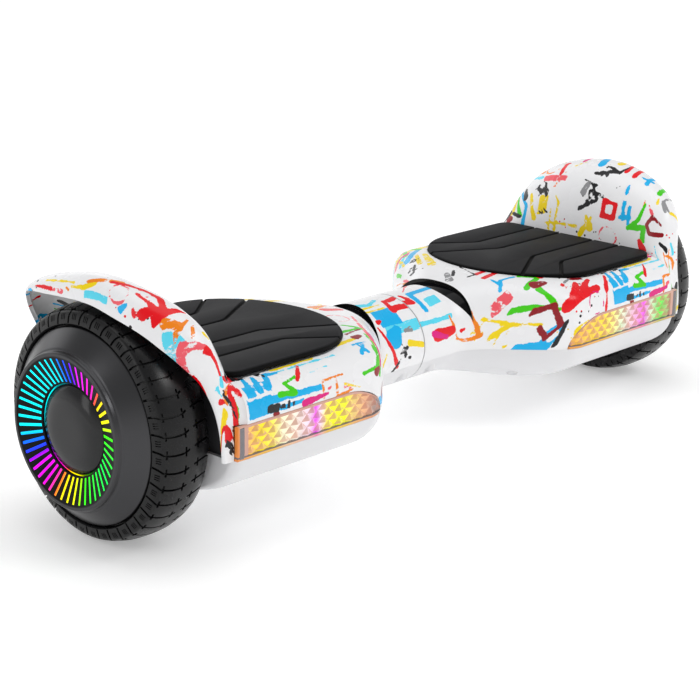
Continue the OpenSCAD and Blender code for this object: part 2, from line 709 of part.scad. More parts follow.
module headlight_leds(side) color("gold") on_side(side) {
    translate([strip_u, strip_y, strip_z]) cube([strip_len, strip_t, strip_h]);
    for (k = [0 : led_count - 1])
        translate([strip_u + (k + 0.5) * led_pitch, strip_y - led_t + 0.2, strip_z + (strip_h - led_w) / 2])
            cube([led_w, led_t, led_w]);
}

// Dark window under the crescent opening, following the surface above it
function window_row(y, depth) = [for (v = [0 : 4]) let (
    u = mix(window_neck(y) + window_inset, window_deck(y) - window_inset, v / 4))
    [u, y, top_at(u, y) - depth]];
window_stops = [for (k = [window_steps - 1 : -1 : 1 - window_steps]) k / window_steps * window_half_y];
module indicator_window(side) color("#101012") on_side(side)
    sheet([for (y = window_stops) window_row(y, window_sink)],
        [for (y = window_stops) window_row(y, window_sink + window_t)]);

module pivot_tube() color("silver") difference() {
    axle_tube(-tube_right, tube_right + tube_left, pivot_r - run_clear, pivot_r - tube_wall);
    axle_tube(-ring_u - ring_t, ring_t, pivot_r + cut, pivot_r - ring_seat);
}

module pivot_bushes() color("ivory")
    for (u = bush_us) axle_tube(-u - bush_len, bush_len, bush_r, pivot_r);

module pivot_retaining_ring() color("dimgray") difference() {
    axle_tube(-ring_u - ring_t, ring_t, ring_r, pivot_r - ring_seat);
    on_axle() translate([0, -ring_slot / 2, -ring_u - ring_t - cut])
        cube([cut_far, ring_slot, ring_t + 2 * cut]);
}

module wire_harness() color("firebrick") on_axle() round_about(3)
    translate([harness_at, 0, -harness_half])
        cylinder(h = 2 * harness_half, r = wire_r, $fn = small_fn);

module main_board() color("darkgreen") {
    top = main_z + board_t - solder;
    translate([main_u, -main_half_y, main_z]) cube([main_len, 2 * main_half_y, board_t]);
    for (p = main_posts, m = [-1, 1]) translate([p[0], m * p[1], plate_z + plate_t])
        cylinder(h = main_z - plate_z - plate_t, r = main_post_r, $fn = small_fn);
    for (k = [0 : capacitor_count - 1])
        translate([capacitor_at[0] + capacitor_pitch * k, capacitor_at[1], top])
            cylinder(h = capacitor_h, r = capacitor_r, $fn = small_fn);
    for (k = [0 : driver_count - 1])
        translate([driver_at[0] + driver_pitch * k, driver_at[1], top]) cube(driver_size);
    translate([processor_at[0], processor_at[1], top]) cube(processor_size);
}

module battery_pack() color("royalblue") mirror([1, 0, 0])
    translate([battery_u, -battery_half_y, plate_z + plate_t])
        hull() for (u = [battery_r, battery_len - battery_r],
                y = [battery_r, 2 * battery_half_y - battery_r]) translate([u, y, 0])
            cylinder(h = battery_h, r = battery_r, $fn = small_fn);

module battery_strap() color("black") mirror([1, 0, 0]) for (u = strap_us)
    translate([u, 0, plate_z + plate_t]) difference() {
        translate([0, -battery_half_y - strap_t, 0])
            cube([strap_w, 2 * (battery_half_y + strap_t), battery_h + strap_t]);
        translate([-strap_play, -battery_half_y, -strap_play])
            cube([strap_w + 2 * strap_play, 2 * battery_half_y, battery_h + strap_play]);
    }

// Round fittings in the rear wall of the left half
module on_rear(u) translate([u, 0, port_z]) rotate([-90, 0, 0]) children();

module power_bezel() color("#202022") on_rear(button_u) translate([0, 0, port_face_y - bezel_len])
    difference() {
        cylinder(h = bezel_len, r = bezel_r, $fn = circle_fn);
        translate([0, 0, bezel_floor])
            cylinder(h = bezel_len, r = button_r + button_gap, $fn = circle_fn);
    }

module power_button() color("silver") on_rear(button_u) translate([0, 0, port_face_y - button_sink])
    difference() {
        cylinder(h = button_len, r = button_r, $fn = circle_fn);
        translate([0, 0, button_len - mark_depth]) tube(cut, mark_out_r, mark_in_r);
    }

// Socket: a plain mouth for the plug, then a narrower floor with three contact pins
module charge_port() color("#202022") on_rear(port_u) translate([0, 0, port_face_y - port_depth]) {
    difference() {
        cylinder(h = port_depth - port_lip, r = port_r, $fn = circle_fn);
        translate([0, 0, port_floor]) cylinder(h = port_depth, r = contact_zone_r, $fn = circle_fn);
        translate([0, 0, port_floor + contact_zone])
            cylinder(h = port_depth, r = socket_r, $fn = circle_fn);
    }
    round_about(contact_count) translate([contact_at, 0, port_floor - solder])
        cylinder(h = contact_len, r = contact_r, $fn = small_fn);
}

module charge_cap() color("#2c2c2e") {
    on_rear(port_u) translate([0, 0, port_face_y - cap_sink]) {
        cylinder(h = cap_t, r = cap_r, $fn = circle_fn);
        translate([-hinge_len / 2, cap_tab_from, 0])
            cube([hinge_len, cap_hinge_dz - cap_tab_from, cap_t]);
    }
    translate([port_u - hinge_len / 2, port_face_y - cap_hinge_dy, port_z - cap_hinge_dz])
        rotate([0, 90, 0]) cylinder(h = hinge_len, r = hinge_r, $fn = small_fn);
}

module side_part(side, part) {
    if (part == "top_shell") top_shell(side);
    if (part == "bottom_shell") bottom_shell(side);
    if (part == "foot_pad") foot_pad(side);
    if (part == "sensor_board") sensor_board(side);
    if (part == "chassis") chassis(side);
    if (part == "axle_clamp") axle_clamp(side);
    if (part == "clamp_screws") clamp_screws(side);
    if (part == "axle") axle(side);
    if (part == "stator") stator(side);
    if (part == "motor_bell") motor_bell(side);
    if (part == "motor_cover") motor_cover(side);
    if (part == "magnets") magnets(side);
    if (part == "inner_bearing") inner_bearing(side);
    if (part == "outer_bearing") outer_bearing(side);
    if (part == "hub_cover") hub_cover(side);
    if (part == "wheel_light_ring") wheel_light_ring(side);
    if (part == "wheel_led_board") wheel_led_board(side);
    if (part == "centre_cap") centre_cap(side);
    if (part == "tyre") tyre(side);
    if (part == "headlight_lens") headlight_lens(side);
    if (part == "headlight_housing") headlight_housing(side);
    if (part == "headlight_leds") headlight_leds(side);
    if (part == "indicator_window") indicator_window(side);
    if (part == "shell_screws") shell_screws(side);
}

for (s = SIDES, p = SIDE_PARTS) side_part(s, p);
pivot_tube();
pivot_bushes();
pivot_retaining_ring();
wire_harness();
main_board();
battery_pack();
battery_strap();
power_bezel();
power_button();
charge_port();
charge_cap();
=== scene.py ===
"""Self balancing hoverboard: shells, tyres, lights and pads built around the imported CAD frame."""

import json
import math

import bmesh
import bpy
import numpy as np
from mathutils import Matrix, Vector


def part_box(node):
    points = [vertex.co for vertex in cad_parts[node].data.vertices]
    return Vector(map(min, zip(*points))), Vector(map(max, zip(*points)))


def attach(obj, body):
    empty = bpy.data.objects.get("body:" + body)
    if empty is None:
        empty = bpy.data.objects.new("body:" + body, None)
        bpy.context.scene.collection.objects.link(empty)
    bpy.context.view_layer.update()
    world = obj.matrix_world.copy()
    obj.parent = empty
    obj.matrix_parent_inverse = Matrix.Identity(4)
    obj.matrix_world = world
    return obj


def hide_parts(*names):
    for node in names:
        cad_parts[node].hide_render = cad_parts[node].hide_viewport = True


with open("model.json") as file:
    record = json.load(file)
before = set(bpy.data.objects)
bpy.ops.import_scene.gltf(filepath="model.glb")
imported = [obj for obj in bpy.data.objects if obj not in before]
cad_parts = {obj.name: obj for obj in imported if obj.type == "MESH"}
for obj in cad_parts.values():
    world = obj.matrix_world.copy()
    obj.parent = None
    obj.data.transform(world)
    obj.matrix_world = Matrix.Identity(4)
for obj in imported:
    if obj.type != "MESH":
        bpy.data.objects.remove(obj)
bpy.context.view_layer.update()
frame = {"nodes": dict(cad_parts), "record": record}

# Lengths below are millimetres until mesh_object() turns them into metres
MM = 0.001
SIDES = {"left": 1, "right": -1}


def span(node, axis):
    """Lowest and highest coordinate of a CAD node along one axis, in millimetres."""
    low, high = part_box(node)
    return low[axis] / MM, high[axis] / MM


# ---------------------------------------------------------------- driving dimensions, from the frame
AXLE_Z = sum(span("left_tyre", 2)) / 2
TYRE_R = span("left_tyre", 2)[1] - AXLE_Z
TYRE_IN, TYRE_OUT = span("left_tyre", 0)
HUB_U = span("left_hub_cover", 0)[1]
DECK_Z = span("left_chassis", 2)[1] + 8
HALF_DEPTH = span("left_top_shell", 1)[1]
PAD_TOP = span("left_foot_pad", 2)[1]
SEAM = span("left_top_shell", 0)[0]
WALL = 3.0
PART_Z = 70.0
PART_GAP = 0.04


# ---------------------------------------------------------------- mesh helpers
def mesh_object(name, points, faces, side="left"):
    """A mesh object from points in millimetres, drawn for the left half and mirrored for the right."""
    points = np.asarray(points, float) * MM
    if side == "right":
        points = points * (-1, 1, 1)
    mesh = bpy.data.meshes.new(name)
    mesh.from_pydata(points.tolist(), [], faces)
    obj = bpy.data.objects.new(name, mesh)
    bpy.context.scene.collection.objects.link(obj)
    face_outward(obj)
    return obj


def face_outward(obj, weld=False):
    """Turns every face outward, after joining the points that coincide if asked to."""
    work = bmesh.new()
    work.from_mesh(obj.data)
    if weld:
        bmesh.ops.remove_doubles(work, verts=work.verts, dist=1e-6)
        bmesh.ops.dissolve_degenerate(work, edges=work.edges, dist=1e-7)
    bmesh.ops.recalc_face_normals(work, faces=work.faces)
    work.to_mesh(obj.data)
    work.free()


def bake_modifiers(obj):
    """Replaces obj's mesh by what its modifiers make of it."""
    graph = bpy.context.evaluated_depsgraph_get()
    mesh = bpy.data.meshes.new_from_object(obj.evaluated_get(graph))
    obj.modifiers.clear()
    obj.data = mesh
    return obj


def boolean(obj, tool, operation="DIFFERENCE"):
    """Cuts obj with tool, or adds tool to it, and removes tool."""
    modifier = obj.modifiers.new("boolean", "BOOLEAN")
    modifier.object = tool
    modifier.operation = operation
    modifier.solver = "MANIFOLD"
    bake_modifiers(obj)
    bpy.data.objects.remove(tool)
    return obj


def bevel(obj, width, segments, angle):
    modifier = obj.modifiers.new("bevel", "BEVEL")
    modifier.width = width * MM
    modifier.segments = segments
    modifier.limit_method = "ANGLE"
    modifier.angle_limit = math.radians(angle)
    modifier.harden_normals = False
    return bake_modifiers(obj)


def smooth(obj, angle):
    obj.data.shade_smooth()
    obj.data.set_sharp_from_angle(angle=math.radians(angle))
    return obj


def grid_faces(rows, cols, start=0):
    i, j = np.meshgrid(np.arange(rows - 1), np.arange(cols - 1), indexing="ij")
    k = (start + i * cols + j).ravel()
    return np.stack([k, k + 1, k + cols + 1, k + cols], -1).tolist()


def rim_loop(rows, cols):
    """Point numbers round the edge of a grid."""
    top = list(range(cols))
    right = [i * cols + cols - 1 for i in range(1, rows)]
    bottom = [(rows - 1) * cols + j for j in range(cols - 2, -1, -1)]
    left = [i * cols for i in range(rows - 2, 0, -1)]
    return top + right + bottom + left


def back_and_rim(rows, cols):
    """Faces that close a grid of points with a second grid behind it."""
    count = rows * cols
    loop = rim_loop(rows, cols)
    rim = [[a, b, b + count, a + count] for a, b in zip(loop, loop[1:] + loop[:1])]
    return grid_faces(rows, cols, count) + rim


def sheet(name, outer, inner, side):
    """A closed sheet between two grids of points that have the same rows and columns."""
    rows, cols = outer.shape[:2]
    points = np.concatenate([outer.reshape(-1, 3), inner.reshape(-1, 3)])
    return mesh_object(name, points, grid_faces(rows, cols) + back_and_rim(rows, cols), side)


def prism(outline, low, high, side, axis=2):
    """A solid with a constant outline: axis 2 extrudes (x, y) along z, axis 1 (x, z) along y."""
    count = len(outline)
    points = [[p[0], p[1], level] for level in (low, high) for p in outline]
    if axis == 1:
        points = [[p[0], p[2], p[1]] for p in points]
    faces = [list(range(count)), list(range(count, 2 * count))]
    faces += [[i, (i + 1) % count, (i + 1) % count + count, i + count] for i in range(count)]
    return mesh_object("prism", points, faces, side)


def rod(centre, radius, low, high, side, axis=2, steps=48):
    """A round prism about a centre given in the plane across its axis."""
    turn = np.linspace(0, 2 * math.pi, steps, endpoint=False)
    outline = [[centre[0] + radius * math.cos(a), centre[1] + radius * math.sin(a)] for a in turn]
    return prism(outline, low, high, side, axis)


def fillet(profile, radius):
    """Rounds each corner of a closed outline."""
    result = []
    points = [np.array(p, float) for p in profile]
    for i, corner in enumerate(points):
        before = points[i - 1] - corner
        after = points[(i + 1) % len(points)] - corner
        lengths = [np.linalg.norm(before), np.linalg.norm(after)]
        reach = min(radius, 0.45 * lengths[0], 0.45 * lengths[1])
        start = corner + before / lengths[0] * reach
        end = corner + after / lengths[1] * reach
        for t in np.linspace(0, 1, 4):
            result.append(start * (1 - t) ** 2 + corner * 2 * t * (1 - t) + end * t * t)
    return result


def turned(name, profile, side, steps=192):
    """A solid turned about the wheel axle from a closed outline of (radius, distance from the seam)."""
    profile = np.maximum(np.array(profile, float), (0, 0))
    count = len(profile)
    points = []
    for a in np.linspace(0, 2 * math.pi, steps, endpoint=False):
        points += [[u, r * math.sin(a), AXLE_Z + r * math.cos(a)] for r, u in profile]
    faces = []
    for i in range(steps):
        near, far = i * count, (i + 1) % steps * count
        faces += [[near + j, near + (j + 1) % count, far + (j + 1) % count, far + j]
                  for j in range(count)]
    obj = mesh_object(name, points, faces, side)
    face_outward(obj, weld=True)
    return obj


# ---------------------------------------------------------------- body surface
MID_Z = 80.0
NECK_TOP = 117.0
NECK_LOW = 48.0
NECK_HALF = 38.6
BODY_LOW = 34.0
BODY_SQUARE, LOW_SQUARE, NECK_SQUARE = 5.2, 2.6, 2.0
# Where the neck starts to grow into the body, and how far it takes to reach each full size
SHOULDER, HIP = 40.0, 30.0
WIDE_RUN, RISE_RUN, DROP_RUN, SQUARE_RUN = 84.0, 56.0, 95.0, 66.0
FOOT_U = 244.0
END_U = 246.0
CORNER_U = 8.0
DECK_UNDER = 115.5
RIDGE_STEPS, LIP_STEPS = 28, 26
RIDGE = {
    "front": [[0, 287, 105], [16, 283, 105.5], [33, 273, 108], [44, 266, 108], [54, 263, 104],
              [63, 261, 98.5], [75, 260, 94.5], [96, 260, 95]],
    "rear": [[0, 287, 105], [16, 288, 105.5], [33, 288, 109], [44, 285, 109.5], [54, 273, 104.5],
             [63, 263, 99], [75, 260, 94.5], [96, 260, 95]]}
LIP = {
    "front": [[0, 300, 88.5], [20, 298, 88.5], [40, 290, 92], [52, 280, 92.6], [61, 271, 92.2],
              [73, 265, 91.8], [96, 262, 92.5]],
    "rear": [[0, 300, 88.5], [12, 300, 90], [24, 300, 95], [34, 299, 102.5], [41, 293, 106.5],
             [50, 284, 104], [63, 270, 97.5], [75, 264, 92.5], [96, 262, 92.5]]}


def mix(a, b, t):
    return a + (b - a) * t


def ease(t):
    t = np.clip(t, 0, 1)
    return t * t * (3 - 2 * t)


def curve(table, t, column):
    """Smooth curve through column of a short table whose first column is the position."""
    xs = np.array([row[0] for row in table], float)
    ys = np.array([row[column] for row in table], float)
    left = np.maximum(np.arange(len(xs)) - 1, 0)
    right = np.minimum(np.arange(len(xs)) + 1, len(xs) - 1)
    slopes = (ys[right] - ys[left]) / (xs[right] - xs[left])
    t = np.clip(t, xs[0], xs[-1] - 0.001)
    i = np.clip(np.searchsorted(xs, t, side="right") - 1, 0, len(xs) - 2)
    h = xs[i + 1] - xs[i]
    s = (t - xs[i]) / h
    return (ys[i] * (1 + 2 * s) * (1 - s) ** 2 + ys[i + 1] * s * s * (3 - 2 * s)
            + slopes[i] * h * s * (1 - s) ** 2 + slopes[i + 1] * h * s * s * (s - 1))


def half_w(u):
    """Half depth of the section at distance u from the seam."""
    return mix(NECK_HALF, HALF_DEPTH, ease((u - SHOULDER) / WIDE_RUN))


def mid(u):
    """Height of the section's widest line; top_h and low_h are its reach above and below it."""
    return mix(AXLE_Z, MID_Z, ease((u - SHOULDER) / WIDE_RUN))


def top_h(u):
    return mix(NECK_TOP, DECK_Z, ease((u - SHOULDER) / RISE_RUN)) - mid(u)


def low_h(u):
    return mid(u) - mix(NECK_LOW, BODY_LOW, ease((u - HIP) / DROP_RUN))


def top_n(u):
    """How square the upper half of the section is: 2 is an ellipse."""
    return mix(NECK_SQUARE, BODY_SQUARE, ease((u - SHOULDER) / SQUARE_RUN))


def low_n(u):
    return mix(NECK_SQUARE, LOW_SQUARE, ease((u - SHOULDER) / SQUARE_RUN))


def radius(u, a):
    """Polar radius of the section at distance u and angle a from upright."""
    upper = np.cos(a) > 0
    h = np.where(upper, top_h(u), low_h(u))
    n = np.where(upper, top_n(u), low_n(u))
    return ((np.abs(np.sin(a)) / half_w(u)) ** n + (np.abs(np.cos(a)) / h) ** n) ** (-1 / n)


def side_y(u, z):
    """Half depth of the section at height z."""
    upper = z > mid(u)
    h = np.where(upper, top_h(u), low_h(u))
    n = np.where(upper, top_n(u), low_n(u))
    return half_w(u) * (1 - (np.abs(z - mid(u)) / h) ** n) ** (1 / n)


def top_at(u, y):
    return mid(u) + top_h(u) * (1 - (np.abs(y) / half_w(u)) ** top_n(u)) ** (1 / top_n(u))


def low_at(u, y):
    return mid(u) - low_h(u) * (1 - (np.abs(y) / half_w(u)) ** low_n(u)) ** (1 / low_n(u))


def edge_angle(u, z):
    """Angle from upright at which the section crosses height z."""
    return math.pi / 2 + np.arctan2(mid(u) - z, side_y(u, z))


def polar(u, r, a, m):
    """Points at distance u from the seam, at radius r and angle a about a line at height m."""
    u, r, a, m = np.broadcast_arrays(u, r, a, m)
    return np.stack([u, r * np.sin(a), m + r * np.cos(a)], -1)


def bezier(p0, p1, p2, p3, t):
    return p0 * (1 - t) ** 3 + p1 * 3 * t * (1 - t) ** 2 + p2 * 3 * t * t * (1 - t) + p3 * t ** 3


def fender_path(a, t):
    """(distance, radius) of the fender at angle a: foot to ridge for t up to 1, ridge to lip up to 2."""
    deg = np.degrees(np.abs(a))
    foot = np.stack([np.full_like(a, FOOT_U), radius(FOOT_U, a)], -1)
    ridge, lip = [np.where((a < 0)[..., None],
                           np.stack([curve(table["front"], deg, c) for c in (1, 2)], -1),
                           np.stack([curve(table["rear"], deg, c) for c in (1, 2)], -1))
                  for table in (RIDGE, LIP)]
    rise, drop = ridge - foot, lip - ridge
    if t <= 1:
        return bezier(foot, foot + rise * (0.02, 0.5), ridge - rise * (0.6, 0), ridge, t)
    return bezier(ridge, ridge + drop * (0.7, 0), lip - drop * (0, 0.5), lip, t - 1)


def skin(s, a):
    """Outer skin of the top shell: s is a distance along the body, then along the fender."""
    if s <= FOOT_U:
        return polar(s, radius(s, a), a, mid(s))
    path = fender_path(a, s - FOOT_U)
    return polar(path[..., 0], path[..., 1], a, MID_Z)


def outward(grid):
    """Unit normals of a grid of points, level along its first and last columns."""
    normal = np.cross(np.gradient(grid, axis=0), np.gradient(grid, axis=1))
    normal[:, [0, -1], 2] = 0
    return normal / np.linalg.norm(normal, axis=-1, keepdims=True)


def shell_stops():
    """Where the top shell's rows lie: along the body, up the fender to its ridge, out to its lip."""
    body = np.concatenate([[SEAM], np.arange(2, 40, 1.8), np.arange(40, FOOT_U - 1, 1.6), [FOOT_U]])
    rise = FOOT_U + np.linspace(0, 1, RIDGE_STEPS + 1)[1:]
    fall = FOOT_U + 1 + np.linspace(0, 1, LIP_STEPS + 1)[1:]
    return np.concatenate([body, rise, fall])


# ---------------------------------------------------------------- printed pattern
# Marks in millimetres over the flattened shell: x along the board, y round it from the crown, negative
# towards the front. A bar has square ends, a brush tapers along its points, a ring is round and
# a spatter is a handful of dots about a centre.
INKS = ["aqua", "cyan", "rose", "yellow", "orange", "green",
        "red", "pink", "wine", "grey", "white", "black"]
FIELD_REACH = 8.0
SPATTER_DOTS = 16
# The right half's x is counted back from its outer end, and fender marks below the fold suit both halves
PRINT_SHIFT, FENDER_FOLD = 405.0, 285
LOOSE_INKS = {"cyan": 0.2, "red": 0.18, "yellow": 0.15, "black": 0.12, "green": 0.1, "orange": 0.09,
              "rose": 0.06, "aqua": 0.04, "pink": 0.03, "wine": 0.03}
LOOSE_KINDS = {"brush": 0.42, "bar": 0.27, "hook": 0.25, "ring": 0.06}
LOOSE_SEED = {"left": 11, "right": 23}
LOOSE_ALONG, LOOSE_ROUND = (6, 350), (-190, 215)
LOOSE_PITCH = 19
LOOSE_STRAY = 5
LOOSE_CLEAR = 6
# Beyond these the front view doesn't show the shell, so loose marks cover it
BACK_Y, NECK_BACK_Y, UNDER_Y = 66, 20, -150
NECK_END = 60
END_ALONG = {"left": 302, "right": 345}


def strokes(*groups):
    """Marks from groups of ink, kind and rows: width, each point's x and y, and a reach if round."""
    marks = []
    for ink, kind, *rows in groups:
        for width, *numbers in rows:
            points = list(zip(numbers[::2], numbers[1::2]))
            marks.append((ink, kind, width, *points, *numbers[2 * len(points):]))
    return marks


SHARED_MARKS = strokes(
    ("aqua", "bar", [1.8, 198, -83.5, 258, -83.5]),
    ("aqua", "brush", [2.4, 226, -92, 243, -91]),
    ("cyan", "bar", [13, 163, -105, 185, -105], [10, 165, -94, 187, -93], [4.5, 184, -103, 232, -104],
        [3, 184, -110, 214, -109.5]),
    ("cyan", "brush", [5, 170, -91, 172, -81], [5, 178, -91, 180, -82],
        [4.5, 187, -93, 190, -83, 201, -84]),
    ("rose", "brush", [3.4, 238, -107, 241, -106], [5, 226, -74, 244, -73]),
    ("yellow", "brush", [8, 200, -78, 238, -79], [4, 196, -73, 216, -73]),
    ("orange", "bar", [2.4, 233, -114, 233, -100], [2.4, 232, -100.5, 254, -100],
        [2.4, 246, -112, 246, -100]),
    ("orange", "brush", [2.4, 239, -116, 262, -112]),
    ("green", "brush", [4, 193, -101, 207, -102.5, 199, -94.5, 212, -92]),
    ("red", "brush", [3.4, 212, -95, 221, -84], [7, 164, -77, 175, -76]),
    ("pink", "brush", [5.5, 214, -112, 237, -110], [5.5, 230, -72, 243, -77]),
    ("wine", "brush", [3, 186, -113, 190, -113]),
    ("white", "bar", [1.5, 164, -99, 187, -97.5], [1.4, 174, -98, 174, -88], [1.4, 181, -98, 182, -89]),
    ("black", "bar", [4.6, 180, -108.5, 190, -109], [1.8, 193, -109, 196, -109],
        [1.8, 199.5, -111, 199.5, -106.5], [1.4, 204, -111.5, 204, -108.5]),
    ("black", "brush", [3, 185, -80, 197, -76], [2, 190, -75, 185, -71]),
    ("black", "spatter", [1.6, 187, -76, 9], [1.4, 172, -79, 7]))
DECK_MARKS = strokes(
    ("cyan", "bar", [6, 77, -102, 98, -123]),
    ("cyan", "ring", [3, 99, -114, 5.5]),
    ("yellow", "brush", [6, 116, -123, 129, -118], [2.2, 60, -56, 82, -88]),
    ("green", "brush", [5.5, 97, -72, 102, -98], [4, 76, -69, 92, -84, 105, -98]),
    ("red", "brush", [10, 109, -98, 128, -95, 148, -93], [9, 117, -94, 130, -83],
        [7, 130, -91, 146, -83], [3.4, 152, -113, 155, -98, 164, -90], [5, 156, -97, 167, -84]),
    ("pink", "ring", [1, 140, -105, 9]),
    ("wine", "brush", [7, 134, -75, 142, -79], [5, 88, -84, 100, -91, 104, -110, 95, -113, 91, -100]),
    ("grey", "brush", [2.4, 121, -78, 134, -74]),
    ("black", "brush", [4, 101, -123, 108, -110]))
LEFT_MARKS = strokes(
    ("aqua", "bar", [4, 0, -39, 38, -39], [9, 20, -22, 36, -21]),
    ("aqua", "brush", [4, 82, 63, 122, 82]),
    ("cyan", "bar", [5, 14, -31, 14, -8], [5, 12, -8, 41, -6]),
    ("cyan", "brush", [4, 76, -50, 85, -42, 99, -45], [4, 80, -47, 82, -35], [7, 84, 57, 130, 78],
        [4, 62, 78, 88, 117]),
    ("rose", "bar", [10, 65, -57, 80, -58]),
    ("rose", "brush", [2, 14, -2, 38, 15], [1.8, 20, 2, 60, 36], [2.8, 44, 9, 62, 42]),
    ("yellow", "brush", [2, 70, -72, 93, -100], [6, 65, -76, 76, -80], [5, 125, -66, 140, -70],
        [8, 84, 29, 105, 55], [5, 82, 40, 100, 60], [2.4, 68, 79, 92, 112]),
    ("yellow", "spatter", [1.6, 70, -86, 11], [1.4, 56, -62, 7]),
    ("orange", "bar", [2.8, 37, -57, 60, -69], [2.4, 57, -67, 53, -44], [2.6, 38, -57, 34, -38]),
    ("orange", "brush", [1.8, 46, 16, 70, 62]),
    ("green", "brush", [5, 91, -64, 113, -59, 102, -47, 113, -45], [3, 70, 52, 79, 67]),
    ("red", "bar", [5, 79, -29, 98, -28], [4.6, 82, -18, 95, -18]),
    ("red", "brush", [11, 16, -51, 35, -50], [4, 43, -53, 46, -53], [7, 0, -16, 8, -18, 5, -7],
        [7, 114, -59, 122, -58], [5, 62, 62, 80, 92, 97, 117]),
    ("red", "spatter", [1.4, 118, -80, 8]),
    ("pink", "brush", [6, 12, -49, 26, -54]),
    ("wine", "brush", [10, 99, -66, 107, -69]),
    ("grey", "brush", [7, 63, -8, 73, 3]),
    ("black", "brush", [2, 76, -16, 83, -18, 91, 5], [3, 72, -4, 81, 3], [2, 66, 33, 79, 43]),
    ("black", "spatter", [1.5, 71, 38, 9], [1.3, 88, 50, 6]))
FENDER_MARKS = strokes(
    ("aqua", "brush", [4, 300, 60, 304, 77], [5, 261, -121, 268, -111]),
    ("cyan", "bar", [4.4, 267, -50, 285, -47], [4, 270, -43, 287, -40], [4, 275, -52, 272, -38]),
    ("cyan", "brush", [5, 247, 62, 270, 66, 289, 88], [5, 311, -52, 332, -48], [4, 317, -55, 315, -43],
        [4.4, 294, -39, 301, -38]),
    ("rose", "bar", [6, 296, 28, 298, 57]),
    ("rose", "brush", [3.4, 286, -74, 293, -66]),
    ("rose", "ring", [1.2, 251, -30, 9]),
    ("rose", "spatter", [1.3, 290, 38, 8]),
    ("yellow", "bar", [3, 253, 3, 254, 39], [10, 261, 44, 280, 46]),
    ("yellow", "brush", [6, 247, -1, 263, -10], [8, 255, -10, 263, -5], [3, 246, 27, 272, 27, 282, 35],
        [2.4, 246, 33, 267, 34], [5, 256, 51, 283, 65], [10, 263, 88, 277, 92], [7, 323, -14, 334, -15],
        [2.4, 309, 29, 319, 17], [4, 299, -73, 303, -72]),
    ("orange", "brush", [1.8, 286, 39, 305, 32], [3.4, 290, -61, 295, -60], [2.6, 257, -132, 251, -99]),
    ("green", "brush", [6, 258, -67, 272, -68, 266, -50, 277, -60, 292, -62], [6, 258, 70, 283, 92],
        [5, 309, -69, 328, -62], [2.6, 251, -142, 250, -116]),
    ("red", "bar", [17, 266, -27, 283, -26]),
    ("red", "brush", [9, 249, -67, 257, -64], [6, 312, -36, 334, -34], [5, 314, -26, 335, -23]),
    ("wine", "brush", [5.5, 272, -93, 268, -75, 276, -70, 285, -74, 281, -88], [9, 252, 83, 257, 93]),
    ("grey", "brush", [7, 284, 4, 293, 2], [2.6, 298, -89, 304, -78, 324, -74], [4, 296, -85, 303, -77]),
    ("white", "bar", [7, 271, -27, 279, -26]),
    ("black", "brush", [4.5, 257, 70, 262, 86], [3, 269, 4, 279, -12, 291, -4], [2.4, 284, -17, 286, -2],
        [2, 292, -7, 295, 7], [3, 280, 44, 293, 51], [3, 284, 53, 289, 59], [7, 279, 72, 289, 79],
        [3, 303, 1, 310, -21, 315, -5], [2, 309, -22, 322, -24], [6, 258, -106, 262, -92]),
    ("black", "spatter", [1.9, 287, 52, 10], [1.6, 279, -4, 8], [1.2, 262, 43, 6], [1.5, 304, -6, 7]))
